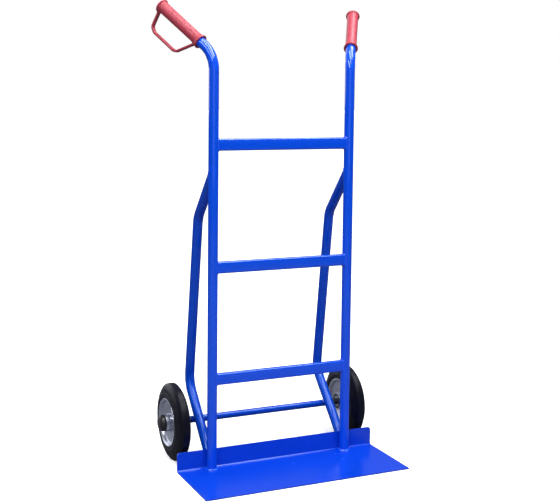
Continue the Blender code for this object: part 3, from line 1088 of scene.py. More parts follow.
class Recipe:
    """A geometry node tree with named size inputs, run once to give a plain mesh."""

    def __init__(self, name: str, sizes: dict[str, float | int]) -> None:
        """Make the tree with its sockets.

        Args:
            name: The tree's name.
            sizes: Default value of each named input; a whole number makes an integer input.
        """
        self.name = name
        tree = bpy.data.node_groups.new(name, "GeometryNodeTree")
        tree.interface.new_socket("Geometry", in_out="INPUT", socket_type="NodeSocketGeometry")
        self.ids: dict[str, str] = {}
        for key, value in sizes.items():
            kind = "NodeSocketInt" if isinstance(value, int) else "NodeSocketFloat"
            socket = tree.interface.new_socket(key, in_out="INPUT", socket_type=kind)
            socket.default_value = value
            self.ids[key] = socket.identifier
        tree.interface.new_socket("Geometry", in_out="OUTPUT", socket_type="NodeSocketGeometry")
        self.sheet = Sheet(tree)
        self.entry = self.sheet.add("NodeGroupInput")
        self.sizes = {key: self.entry.outputs[key] for key in sizes}

    def close(self, geometry: bpy.types.NodeSocket, material: bpy.types.Material) -> None:
        """End the tree with smooth shading, Realize Instances and Set Material.

        Args:
            geometry: The socket of what was made.
            material: Its finish.
        """
        smooth = self.sheet.add("GeometryNodeSetShadeSmooth", {0: geometry})
        real = self.sheet.add("GeometryNodeRealizeInstances", {0: smooth.outputs[0]})
        dressed = self.sheet.add("GeometryNodeSetMaterial", {0: real.outputs[0], "Material": material})
        self.sheet.add("NodeGroupOutput", {0: dressed.outputs[0]})

    def run(self, made: bpy.types.Object, **sizes: float | int) -> bpy.types.Object:
        """Run the tree on an object.

        Args:
            made: The object whose mesh goes in.
            sizes: Values of the named inputs.

        Returns:
            The same object with the plain mesh that came out.
        """
        tool = made.modifiers.new(self.name, "NODES")
        tool.node_group = self.sheet.tree
        for key, value in sizes.items():
            tool[self.ids[key]] = value
        graph = bpy.context.evaluated_depsgraph_get()
        mesh = bpy.data.meshes.new_from_object(made.evaluated_get(graph))
        made.modifiers.remove(tool)
        made.data = mesh
        return made


class WeldRecipe(Recipe):
    """Runs a rippled bead along every chain of edges of a mesh."""

    STEP = 0.45 * MM
    SIDES = 14
    LUMPS_PER_METRE = 160.0

    def __init__(self, material: bpy.types.Material) -> None:
        """Build the tree.

        Args:
            material: The finish of the beads.
        """
        defaults = {"Radius": 2.0 * MM, "Pitch": 1.9 * MM, "Ripple": 0.12, "Wobble": 0.35, "Seed": 3}
        super().__init__("WeldBeads", defaults)
        sheet, size = self.sheet, self.sizes
        curve = sheet.add("GeometryNodeMeshToCurve", {0: self.entry.outputs[0]})
        inputs = {0: curve.outputs[0], "Length": self.STEP}
        fine = sheet.add("GeometryNodeResampleCurve", inputs, mode="LENGTH")
        run = sheet.add("GeometryNodeSplineParameter").outputs["Length"]
        whole = sheet.add("GeometryNodeSplineLength").outputs["Length"]
        phase = sheet.math("FRACT", sheet.math("DIVIDE", run, size["Pitch"]))
        wave = sheet.math("MULTIPLY_ADD", sheet.math("POWER", phase, 1.6), size["Ripple"], 0.92)
        place = sheet.add("GeometryNodeInputPosition").outputs[0]
        inputs = {"Vector": place, "W": size["Seed"], "Scale": self.LUMPS_PER_METRE, "Detail": 1.0}
        slow = sheet.add("ShaderNodeTexNoise", inputs, noise_dimensions="4D")
        offset = sheet.math("SUBTRACT", slow.outputs["Fac"], 0.5)
        lump = sheet.math("MULTIPLY_ADD", offset, size["Wobble"], wave)
        end = sheet.math("MINIMUM", run, sheet.math("SUBTRACT", whole, run))
        taper = sheet.smooth(sheet.math("DIVIDE", end, size["Radius"]), 0.0, 1.3, (0.35, 1.0))
        inputs = {"Resolution": self.SIDES, "Radius": size["Radius"]}
        ring = sheet.add("GeometryNodeCurvePrimitiveCircle", inputs)
        scale = sheet.math("MULTIPLY", lump, taper)
        inputs = {0: fine.outputs[0], 1: ring.outputs[0], "Scale": scale, "Fill Caps": True}
        self.close(sheet.add("GeometryNodeCurveToMesh", inputs).outputs[0], material)


class RoundRecipe(Recipe):
    """Sets copies of a small ball or button evenly on a circle round the X axis."""

    SEGMENTS = 24
    RINGS = 14

    def __init__(self, name: str, material: bpy.types.Material) -> None:
        """Build the tree.

        Args:
            name: The tree's name.
            material: The finish of the blobs.
        """
        defaults = {"Count": 7, "Circle": 14.2 * MM, "Along": 0.0, "Radius": 3.1 * MM, "Flat": 1.0}
        super().__init__(name, defaults)
        sheet, size = self.sheet, self.sizes
        inputs = {"Vertices": size["Count"], "Radius": size["Circle"]}
        circle = sheet.add("GeometryNodeMeshCircle", inputs)
        inputs = {"Segments": self.SEGMENTS, "Rings": self.RINGS, "Radius": size["Radius"]}
        blob = sheet.add("GeometryNodeMeshUVSphere", inputs)
        scale = sheet.add("ShaderNodeCombineXYZ", {0: 1.0, 1: 1.0, 2: size["Flat"]}).outputs[0]
        inputs = {0: circle.outputs[0], "Instance": blob.outputs[0], "Scale": scale}
        spread = sheet.add("GeometryNodeInstanceOnPoints", inputs)
        move = sheet.add("ShaderNodeCombineXYZ", {0: size["Along"]}).outputs[0]
        onto_x = (0.0, math.pi / 2, 0.0)
        inputs = {0: spread.outputs[0], "Translation": move, "Rotation": onto_x}
        self.close(sheet.add("GeometryNodeTransform", inputs).outputs[0], material)


# ------------------------------------------------------------- sub-assemblies


@dataclass(frozen=True)
class BendRipple:
    """The slight flattening and wrinkling of a drawn tube in a bend."""

    flatten: float = 0.35 * MM
    widen: float = 0.22 * MM
    wrinkle: float = 0.06 * MM
    wrinkle_pitch: float = 8.6 * MM
    drag: float = 0.16 * MM
    drag_pitch: float = 23.0 * MM

    def __call__(self, point: PathPoint, angle: float, radius: float) -> Point2:
        """Work out the shift of one point of the tube's skin.

        Args:
            point: The point of the centre line.
            angle: The angle round the tube, 0 on the outside of the bend.
            radius: The tube's radius, unused by this rule.

        Returns:
            The shift outward and the shift along the tube.
        """
        inside = 0.5 - 0.5 * math.cos(angle)
        crease = math.sin(TAU * point.run / self.wrinkle_pitch + 1.1 * math.sin(3 * angle))
        pulled = math.sin(TAU * point.run / self.drag_pitch + 2.0 * angle)
        flat = self.widen * math.sin(angle) ** 2 - self.flatten * math.cos(angle) ** 2
        uneven = self.wrinkle * crease * (0.35 + 0.65 * inside) + self.drag * pulled
        return (flat + uneven) * point.bend, 0.0


@dataclass(frozen=True)
class FrameTube:
    """Sizes that the tubes of the frame share."""

    radius: float = 12.5 * MM
    sides: int = 48
    foot_x: float = 188.0 * MM
    lean: float = math.radians(0.26)
    straight_step: float = 14.0 * MM
    turn_step: float = math.radians(1.5)

    def matrix(self, side: Side) -> Matrix:
        """Return where the local frame of a side frame is."""
        turn = Matrix.Rotation(-side.value * self.lean, 4, "Y")
        return Matrix.Translation((side.value * self.foot_x, 0.0, 0.0)) @ turn

    def bent(self, corners: Iterable[Point2], radii: Iterable[float], place: Matrix) -> bpy.types.Mesh:
        """Make a bent tube.

        Args:
            corners: The centre line's ends and corners.
            radii: The bend radius at each inner corner.
            place: Where the tube goes.

        Returns:
            The tube's mesh.
        """
        line = BentLine(corners, radii, self.straight_step, self.turn_step)
        return sweep(line, circle_outline(self.radius, self.sides), place, BendRipple())

    def half_gap(self, z: float) -> float:
        """Return the upright's distance from the middle at a height."""
        return self.foot_x - z * math.tan(self.lean)


TUBE = FrameTube()


@dataclass
class SideFrame:
    """One upright with its handle end, and the bowed brace behind it."""

    side: Side
    foot_z: float = 3.3 * MM
    corner_z: float = 1029.5 * MM
    rise: float = math.radians(35.6)
    splay: float = math.radians(30.2)
    handle_bend: float = 72.0 * MM
    tube_in_grip: float = 144.0 * MM
    end_bevel: float = 0.6 * MM
    left_grip_start: float = 49.5 * MM
    right_grip_start: float = 39.5 * MM
    brace: tuple[Point2, ...] = (
        (2.0 * MM, 745.2 * MM),
        (104.0 * MM, 628.0 * MM),
        (167.0 * MM, 186.0 * MM),
        (19.5 * MM, 34.9 * MM),
    )
    brace_bend: float = 60.0 * MM
    brace_foot_y: float = 14.4 * MM
    brace_foot_below: float = 200.0 * MM

    @property
    def grip_start(self) -> float:
        """How far past the corner the grip begins: the right one is pushed further on."""
        return self.left_grip_start if self.side is Side.LEFT else self.right_grip_start

    @property
    def handle_turn(self) -> Matrix:
        """The turn of the handle's plane about the upright."""
        return Matrix.Rotation(math.pi / 2 - self.side.value * self.splay, 4, "Z")

    def build_upright(self, shop: Workshop) -> None:
        """Make the upright with its handle bend.

        Args:
            shop: The workshop.
        """
        reach = self.grip_start + self.tube_in_grip
        corner = self.corner_z - self.foot_z
        end = (math.cos(self.rise) * reach, corner + math.sin(self.rise) * reach)
        place = TUBE.matrix(self.side) @ Matrix.Translation((0.0, 0.0, self.foot_z)) @ self.handle_turn
        mesh = TUBE.bent([(0.0, 0.0), (0.0, corner), end], [self.handle_bend], place)
        name = f"{self.side.label}_upright"
        made = shop.bevel(shop.raw(f"{name}_tube", mesh), self.end_bevel)
        shop.hand_over(made, "tube_paint", "frame", [name])

    def build_brace(self, shop: Workshop) -> None:
        """Make the bowed brace, cut flush where it meets the flange.

        Args:
            shop: The workshop.
        """
        place = TUBE.matrix(self.side) @ Matrix.Rotation(math.pi / 2, 4, "Z")
        mesh = TUBE.bent(self.brace, [self.brace_bend] * 2, place)
        bm = bmesh.new()
        bm.from_mesh(mesh)
        everything = bm.verts[:] + bm.edges[:] + bm.faces[:]
        plane, way = (0.0, self.brace_foot_y, 0.0), (0.0, -1.0, 0.0)
        bmesh.ops.bisect_plane(bm, geom=everything, plane_co=plane, plane_no=way)
        front = self.brace_foot_y - SAME_POINT
        drop = [v for v in bm.verts if v.co.y < front and v.co.z < self.brace_foot_below]
        bmesh.ops.delete(bm, geom=drop, context="VERTS")
        bmesh.ops.holes_fill(bm, edges=[e for e in bm.edges if e.is_boundary])
        bmesh.ops.recalc_face_normals(bm, faces=bm.faces)
        bm.to_mesh(mesh)
        bm.free()
        name = f"{self.side.label}_brace"
        shop.hand_over(shop.raw(f"{name}_tube", mesh), "brace_paint", "frame", [name])


@dataclass
class Rungs:
    """The three flattened tubes between the uprights."""

    heights: dict[str, float] = field(
        default_factory=lambda: {"top": 815.5 * MM, "middle": 515.5 * MM, "lower": 234.0 * MM}
    )
    tall: float = 29.5 * MM
    deep: float = 15.0 * MM
    corner: float = 5.0 * MM
    corner_steps: int = 8
    sunk: float = 8.0 * MM
    step: float = 12.0 * MM
    crown: float = 0.6 * MM
    wave: float = 0.12 * MM
    wave_pitches: Point2 = (130.0 * MM, 47.0 * MM)

    def build(self, shop: Workshop) -> None:
        """Make each rung, with its ends inside the uprights.

        Args:
            shop: The workshop.
        """
        section = box_outline(self.tall, self.deep, self.corner, self.corner_steps)
        for label, z in self.heights.items():
            half = TUBE.half_gap(z) - self.sunk
            line = BentLine([(-half, z), (half, z)], [], self.step, TUBE.turn_step)
            mesh = sweep(line, section, None, self._crown)
            made = shop.raw(f"{label}_rung_bar", mesh)
            shop.hand_over(made, "tube_paint", "frame", [f"{label}_rung"])

    def _crown(self, point: PathPoint, angle: float, radius: float) -> Point2:
        """Work out the faint crown and wave that rolling flat leaves in the faces.

        Args:
            point: The point of the rung's centre line.
            angle: The angle round the rung.
            radius: How far out the point is, unused by this rule.

        Returns:
            The shift outward and the shift along the rung.
        """
        flat = max(0.0, abs(math.sin(angle)) - 0.8)
        long, short = (math.sin(TAU * point.run / pitch) for pitch in self.wave_pitches)
        return flat * (self.crown + self.wave * (long + 0.6 * short)), 0.0


@dataclass
class ToePlate:
    """The folded sheet: the load plate and its upturned flange."""

    thick: float = 3.0 * MM
    half_width: float = 275.0 * MM
    front_y: float = -190.0 * MM
    flange_y: float = 12.8 * MM
    flange_top: float = 50.5 * MM
    bend: float = 4.5 * MM
    corner: float = 8.0 * MM
    front_corner: float = 2.0 * MM
    sheared_edge: float = 0.55 * MM
    columns: int = 96
    flat_steps: int = 48
    bend_steps: int = 16
    flange_steps: int = 14
    corner_steps: int = 10
    front_steps: int = 5
    dent_base: float = 0.3 * MM
    dent_fade: float = 30.0 * MM

    def _middle(self) -> list[tuple[Vector, Vector]]:
        """Lay out the sheet's mid line from the front edge to the flange's top.

        Returns:
            Points of the line with the sheet's upward normal at each.
        """
        mid = self.bend + self.thick / 2
        turn_y, turn_z = self.flange_y - self.bend, self.thick + self.bend
        flat = turn_y - self.front_y
        out = []
        front = [self.front_corner * i / self.front_steps for i in range(self.front_steps + 1)]
        for s in front + [flat * i / self.flat_steps for i in range(1, self.flat_steps)]:
            out.append((Vector((0.0, self.front_y + s, self.thick / 2)), Vector((0.0, 0.0, 1.0))))
        for i in range(self.bend_steps + 1):
            a = math.pi / 2 * i / self.bend_steps
            normal = Vector((0.0, -math.sin(a), math.cos(a)))
            out.append((Vector((0.0, turn_y, turn_z)) - normal * mid, normal))
        tall = self.flange_top - turn_z
        sines = [math.sin(math.pi / 2 * i / self.corner_steps) for i in range(self.corner_steps + 1)]
        top = [tall - self.corner * (1 - sine) for sine in sines]
        below = range(1, self.flange_steps * 3 // 4 + 1)
        for s in [tall * i / self.flange_steps for i in below] + top:
            place = Vector((0.0, self.flange_y + self.thick / 2, turn_z + s))
            out.append((place, Vector((0.0, -1.0, 0.0))))
        return out

    def _half_width_at(self, place: Vector) -> float:
        """Work out the sheet's half width, less at its rounded corners.

        Args:
            place: A point of the mid line.

        Returns:
            The half width there.
        """
        for gap, radius in (
            (self.flange_top - place.z, self.corner),
            (place.y - self.front_y, self.front_corner),
        ):
            if gap < radius:
                inset = radius - math.sqrt(max(0.0, radius**2 - (radius - gap) ** 2))
                return self.half_width - inset
        return self.half_width

    def _dent(self, x: float, place: Vector) -> float:
        """Work out how far the sheet stands off its flat, never below it.

        Args:
            x: The place across the sheet.
            place: The point of the mid line.

        Returns:
            The height, fading to nothing at the bend.
        """
        y = place.y
        broad = 0.16 * MM * math.sin(9.0 * x + 21.0 * y + 0.6)
        narrow = 0.09 * MM * math.sin(31.0 * x - 17.0 * y)
        ripple = 0.05 * MM * math.sin(74.0 * x + 5.0) * math.sin(61.0 * y)
        return (self.dent_base + broad + narrow + ripple) * min(1.0, max(0.0, -y / self.dent_fade))

    def _face(self, skin: Skin, sign: float) -> list[list[bmesh.types.BMVert]]:
        """Lay one face of the sheet.

        Args:
            skin: The mesh that gets it.
            sign: 1 for the upper face, -1 for the lower one.

        Returns:
            The face's rows of points, from the front edge to the flange's top.
        """
        rows, run, last = [], 0.0, None
        for place, normal in self._middle():
            run += 0.0 if last is None else (place - last).length
            last = place
            half = self._half_width_at(place)
            spots = []
            for i in range(self.columns + 1):
                x = half * (2 * i / self.columns - 1)
                lift = self._dent(x, place)
                spots.append(place + normal * (sign * self.thick / 2) + Vector((x, 0.0, lift)))
            rows.append(skin.row(spots, run, 2 * self.half_width))
        for first, second in zip(rows, rows[1:]):
            skin.join(first, second, False)
        return rows

    def build(self, shop: Workshop) -> None:
        """Make the sheet as an upper and a lower face joined round the rim.

        Args:
            shop: The workshop.
        """
        skin = Skin()
        upper, lower = self._face(skin, 1.0), self._face(skin, -1.0)
        rim = [
            (upper[0], lower[0]),
            (upper[-1], lower[-1]),
            ([r[0] for r in upper], [r[0] for r in lower]),
            ([r[-1] for r in upper], [r[-1] for r in lower]),
        ]
        for first, second in rim:
            skin.join(first, second, False)
        made = shop.bevel(shop.raw("toe_plate_sheet", skin.finish()), self.sheared_edge)
        shop.hand_over(made, "plate_paint", "frame", ["toe_plate"])


@dataclass
class Grip:
    """One moulded grip with its finger guard, along its own +Z.

    The body's corners are (along, radius, rounding) and the guard's are (along, away, bend
    radius), both in millimetres from the grip's open end.
    """

    side: Side
    frame: SideFrame
    voxel: float = 0.72 * MM
    softening: int = 7
    sides: int = 64
    body: tuple[tuple[float, float, float], ...] = (
        (154, 0, 0),
        (153.7, 8, 6),
        (153, 16.6, 1.2),
        (151.8, 18.2, 1.2),
        (149.6, 18.2, 1),
        (147.2, 14.8, 2.5),
        (60, 14.3, 8),
        (26, 14.3, 12),
        (8, 15.2, 4),
        (4.4, 15.9, 0.6),
        (3.4, 18.1, 0.8),
        (0, 18.3, 0.6),
        (0, 12.7, 0.4),
        (138, 12.7, 0),
        (138, 0, 0),
    )
    guard: tuple[tuple[float, float, float], ...] = (
        (12, 12.5, 0),
        (48.5, 60.5, 12),
        (58, 65, 14),
        (134, 65, 13),
        (147.5, 57, 12),
        (150.8, 13, 0),
    )
    guard_wide: float = 6.2 * MM
    guard_deep: float = 10.5 * MM
    guard_corner: float = 2.4 * MM
    guard_step: float = 4.0 * MM
    guard_turn: float = math.radians(4)
    flare: float = 1.6 * MM
    flare_from: float = 12.5 * MM
    flare_over: float = 11.0 * MM

    @property
    def matrix(self) -> Matrix:
        """Where the grip's own frame is."""
        frame = self.frame
        stand = Matrix.Rotation(math.pi / 2 - frame.rise, 4, "Y")
        corner = Matrix.Translation((0.0, 0.0, frame.corner_z)) @ frame.handle_turn @ stand
        start = Matrix.Translation((0.0, 0.0, frame.grip_start)) @ Matrix.Rotation(math.pi / 2, 4, "Z")
        return TUBE.matrix(self.side) @ corner @ start

    def _body(self) -> bpy.types.Mesh:
        """Return the round body with its two rings."""
        profile = [(z * MM, r * MM) for z, r, _ in self.body]
        rounding = [rounded * MM for _, _, rounded in self.body]
        stand = Matrix.Rotation(-math.pi / 2, 4, "Y")
        return turned(rounded_outline(profile, rounding, 6, False), False, self.sides, stand)

    def _guard(self) -> bpy.types.Mesh:
        """Return the finger guard's bar."""
        corners = [(away * MM, along * MM) for along, away, _ in self.guard]
        bends = [bend * MM for _, _, bend in self.guard[1:-1]]
        line = BentLine(corners, bends, self.guard_step, self.guard_turn)
        section = box_outline(self.guard_wide, self.guard_deep, self.guard_corner, 6)
        return sweep(line, section, Matrix.Rotation(-math.pi / 2, 4, "Z"), self._flare)

    def build(self, shop: Workshop) -> None:
        """Mould body and guard into one skin and finish it.

        Args:
            shop: The workshop.
        """
        bm = bmesh.new()
        bm.from_mesh(self._body())
        bm.from_mesh(self._guard())
        mesh = bpy.data.meshes.new("grip")
        bm.to_mesh(mesh)
        bm.free()
        made = shop.raw(f"{self.side.label}_grip_moulding", mesh)
        fuse = made.modifiers.new("Fuse", "REMESH")
        fuse.mode = "VOXEL"
        fuse.voxel_size = self.voxel
        soften = made.modifiers.new("Soften", "SMOOTH")
        soften.factor = 0.5
        soften.iterations = self.softening
        shop.settle(made)
        made.data.transform(self.matrix)
        node = f"{self.side.label}_grip"
        shop.hand_over(made, "grip_vinyl", "frame", [node], math.pi)

    def _flare(self, point: PathPoint, angle: float, radius: float) -> Point2:
        """Work out how the guard thickens where it grows out of the body.

        Args:
            point: The point of the guard's centre line.
            angle: The angle round the guard, unused by this rule.
            radius: How far out the point is, unused by this rule.

        Returns:
            The shift outward and the shift along the guard.
        """
        near = max(0.0, 1.0 - (point.place.x - self.flare_from) / self.flare_over)
        return self.flare * near**2, 0.0


@dataclass
class AxleBar:
    """The fixed bar with its two stepped ends."""

    y: float = 113.79 * MM
    z: float = 100.3 * MM
    radius: float = 9.0 * MM
    shoulder: float = 223.1 * MM
    journal: float = 8.5 * MM
    reach: float = 282.0 * MM
    painted_to: float = 203.0 * MM
    end_rounding: float = 1.0 * MM
    inner_rounding: float = 0.1 * MM
    shoulder_rounding: float = 0.4 * MM
    sides: int = 40

    def build(self, shop: Workshop) -> None:
        """Make the bar in one turned piece.

        Args:
            shop: The workshop.
        """
        half = [
            (0.0, self.radius),
            (self.painted_to, self.radius),
            (self.shoulder, self.radius),
            (self.shoulder, self.journal),
            (self.reach, self.journal),
            (self.reach, 0.0),
        ]
        corners = [(-x, r) for x, r in reversed(half)] + half[1:]
        ends = [0.0, self.end_rounding, self.inner_rounding, self.shoulder_rounding, 0.0]
        profile = rounded_outline(corners, ends + [0.0] + ends[::-1], 4, False)
        mesh = turned(profile, False, self.sides, Matrix.Translation((0.0, self.y, self.z)))
        made = shop.hand_over(shop.raw("axle_bar", mesh), "brace_paint", "frame", ["axle"])
        # Past the set length the bar's ends turn near-black: bare journal under the bearings, and
        # painted shade on the stub between brace and wheel.
        mesh.materials.append(shop.palette["oiled_steel"])
        for face in mesh.polygons:
            face.material_index = int(abs(face.center.x) > self.painted_to)
        log.info("%s: bare beyond %.0f mm", made.name, self.painted_to / MM)


@dataclass(frozen=True)
class TurnedPart:
    """A turned part of a wheel, as a profile in millimetres from the wheel's middle, outward."""

    node: str
    profile: tuple[Point2, ...]
    finish: str
    slot: Slot
    on_wheel: bool
    corner: float = 0.4
    closed: bool = True
    sides: int = 72


def box_profile(start: float, end: float, inner: float, outer: float) -> tuple[Point2, ...]:
    """Return a plain ring's profile."""
    return ((start, inner), (start, outer), (end, outer), (end, inner))


@dataclass
class Wheel:
    """One wheel with everything in its hub.

    Profiles are (along, radius) in millimetres from the wheel's middle, outward.
    """

    side: Side
    axle: AxleBar
    centre_x: float = 249.0 * MM
    tyre_half: tuple[Point2, ...] = (
        (6.8, 99.75),
        (7.5, 98.9),
        (8.6, 98.6),
        (13.1, 92.6),
        (16.3, 85.6),
        (18.6, 77.0),
        (19.0, 75.2),
        (19.9, 74.6),
        (19.9, 69.6),
        (19.2, 68.8),
        (18.6, 62.8),
        (16.4, 58.5),
        (9.0, 54.4),
    )
    disc_inside: tuple[Point2, ...] = (
        (18.9, 62.2),
        (18.6, 60.6),
        (16.7, 58.1),
        (11.8, 55.3),
        (9.6, 53.0),
        (6.6, 41.0),
        (3.8, 31.0),
        (2.6, 23.4),
    )
    disc_outside: tuple[Point2, ...] = (
        (4.4, 23.4),
        (5.7, 30.5),
        (8.6, 41.5),
        (11.5, 51.7),
        (12.9, 53.6),
        (18.0, 56.6),
        (20.5, 60.2),
        (20.6, 62.2),
    )
    cap: tuple[Point2, ...] = (
        (41.7, 0),
        (41.2, 10.5),
        (39.2, 16.6),
        (35.4, 20.2),
        (30.5, 21.5),
        (25.8, 21.5),
        (25.8, 20),
        (23.4, 20),
        (23.4, 17.3),
        (34, 17),
        (38, 12.5),
        (39.4, 0),
    )
    balls: int = 7
    ball_circle: float = 14.2
    ball_radius: float = 3.1
    bearing_at: float = 17.0
    bearing_half: float = 6.0
    groove: float = 3.45
    inner_land: float = 12.15
    outer_land: float = 16.25
    bore: float = 8.8
    housing: float = 20.0
    cage_half: float = 0.5
    cage_gap: float = 2.2
    cage_from: float = 12.9
    cage_to: float = 15.5
    spots: int = 6
    spot_circle: float = 28.6
    spot_along: float = 5.3
    spot_radius: float = 2.2
    spot_flat: float = 0.5

    @property
    def matrix(self) -> Matrix:
        """Where the wheel's own frame is: +X outward, the origin in its middle."""
        place = Matrix.Translation((self.side.value * self.centre_x, self.axle.y, self.axle.z))
        return place @ Matrix.Rotation(0.0 if self.side is Side.RIGHT else math.pi, 4, "Z")

    def _ring(self, at: float, inner: bool) -> tuple[Point2, ...]:
        """Draw a bearing ring's profile with its ball groove.

        Args:
            at: The bearing's middle.
            inner: Whether it is the inner ring.

        Returns:
            The profile.
        """
        start, end = at - self.bearing_half, at + self.bearing_half
        if inner:
            land, back, bow = self.inner_land, self.bore, -1
        else:
            land, back, bow = self.outer_land, self.housing, 1
        half = math.sqrt(self.groove**2 - (land - self.ball_circle) ** 2)
        track = []
        for i in range(9):
            x = half * (2 * i / 8 - 1)
            track.append((at + x, self.ball_circle + bow * math.sqrt(self.groove**2 - x**2)))
        return ((start, back), (start, land), *track, (end, land), (end, back))

    def parts(self) -> list[TurnedPart]:
        """List every turned part of the wheel.

        Returns:
            The parts, those that turn and those that stay.
        """
        tyre = self.tyre_half + tuple((-x, r) for x, r in reversed(self.tyre_half))
        outer_disc = self.disc_inside + self.disc_outside
        inner_disc = tuple((-x, r) for x, r in outer_disc)
        seal = box_profile(-25.2, -23.3, 14.6, self.housing)
        spacer = box_profile(-10.7, 10.7, self.bore, 11.0)
        outer_washer = box_profile(23.3, 25.3, self.bore, 14.0)
        inner_washer = box_profile(-25.3, -23.3, self.bore, 14.0)
        found = [
            TurnedPart("tyre", tyre, "tyre_rubber", Slot.RUBBER, True, 1.2, True, 160),
            TurnedPart("outer_rim_disc", outer_disc, "bright_zinc", Slot.ZINC, True, 1.4, True, 128),
            TurnedPart("inner_rim_disc", inner_disc, "bright_zinc", Slot.ZINC, True, 1.4, True, 128),
            TurnedPart("hub_tube", box_profile(-25.5, 25.5, 20.3, 23.0), "bright_zinc", Slot.ZINC, True),
            TurnedPart("hub_cap", self.cap, "black_nylon", Slot.PLASTIC, True, 3.0, False, 96),
            TurnedPart("dust_seal", seal, "black_nylon", Slot.PLASTIC, True),
            TurnedPart("bearing_spacer", spacer, "bright_zinc", Slot.ZINC, False),
            TurnedPart("outer_washer", outer_washer, "bright_zinc", Slot.ZINC, False),
            TurnedPart("inner_washer", inner_washer, "bright_zinc", Slot.ZINC, False),
        ]
        for place, at in (("outer", self.bearing_at), ("inner", -self.bearing_at)):
            for kind, is_inner in (("inner_ring", True), ("outer_ring", False)):
                profile = self._ring(at, is_inner)
                name = f"{place}_bearing_{kind}"
                found.append(TurnedPart(name, profile, "ground_steel", Slot.BEARING, not is_inner, 0.3))
        return found

    def build(self, shop: Workshop) -> None:
        """Make the turned parts, the balls with their cages, and the weld spots.

        Args:
            shop: The workshop.
        """
        label = self.side.label
        for part in self.parts():
            profile = [(x * MM, r * MM) for x, r in part.profile]
            smooth = rounded_outline(profile, [part.corner * MM] * len(profile), 5, part.closed)
            mesh = turned(smooth, part.closed, part.sides, self.matrix)
            body = f"{label}_wheel" if part.on_wheel else "frame"
            made = shop.raw(f"{label}_{part.node}_turned", mesh)
            shop.hand_over(made, part.finish, body, [f"{label}_{part.node}"])
        self._build_balls(shop)
        self._build_spots(shop)
        pin = bpy.data.objects[f"{label}_split_pin"]
        pin.material_slots[0].link = "OBJECT"
        pin.material_slots[0].material = shop.palette["bright_zinc"]

    def _build_balls(self, shop: Workshop) -> None:
        """Make the balls and the two-piece ribbon cage of each bearing.

        Args:
            shop: The workshop.
        """
        recipe = RoundRecipe(f"{self.side.label}_balls", shop.palette["ground_steel"])
        flat = box_profile(-self.cage_half, self.cage_half, self.cage_from, self.cage_to)
        for place, at in (("outer", self.bearing_at), ("inner", -self.bearing_at)):
            name = f"{self.side.label}_{place}_ball_cage"
            made = recipe.run(
                shop.raw(f"{name}_balls", bpy.data.meshes.new("seed")),
                Count=self.balls,
                Circle=self.ball_circle * MM,
                Along=at * MM,
                Radius=self.ball_radius * MM,
            )
            ring = turned([(x * MM, r * MM) for x, r in flat], True, 72)
            bm = bmesh.new()
            bm.from_mesh(made.data)
            for shift in (-self.cage_gap, self.cage_gap):
                cage = ring.copy()
                cage.transform(Matrix.Translation(((at + shift) * MM, 0.0, 0.0)))
                bm.from_mesh(cage)
            bmesh.ops.transform(bm, matrix=self.matrix, verts=bm.verts)
            bm.to_mesh(made.data)
            bm.free()
            body = f"{self.side.label}_{place}_cage"
            shop.hand_over(made, "ground_steel", body, [name])

    def _build_spots(self, shop: Workshop) -> None:
        """Make the spot-weld buttons of the outer and inner rim disc.

        Args:
            shop: The workshop.
        """
        recipe = RoundRecipe(f"{self.side.label}_rim_spots", shop.palette["bright_zinc"])
        for place, along in (("outer", self.spot_along), ("inner", -self.spot_along)):
            made = recipe.run(
                shop.raw(f"{self.side.label}_{place}_rim_spots", bpy.data.meshes.new("seed")),
                Count=self.spots,
                Circle=self.spot_circle * MM,
                Along=along * MM,
                Radius=self.spot_radius * MM,
                Flat=self.spot_flat,
            )
            made.data.transform(self.matrix)
            shop.hand_over(made, "bright_zinc", f"{self.side.label}_wheel")


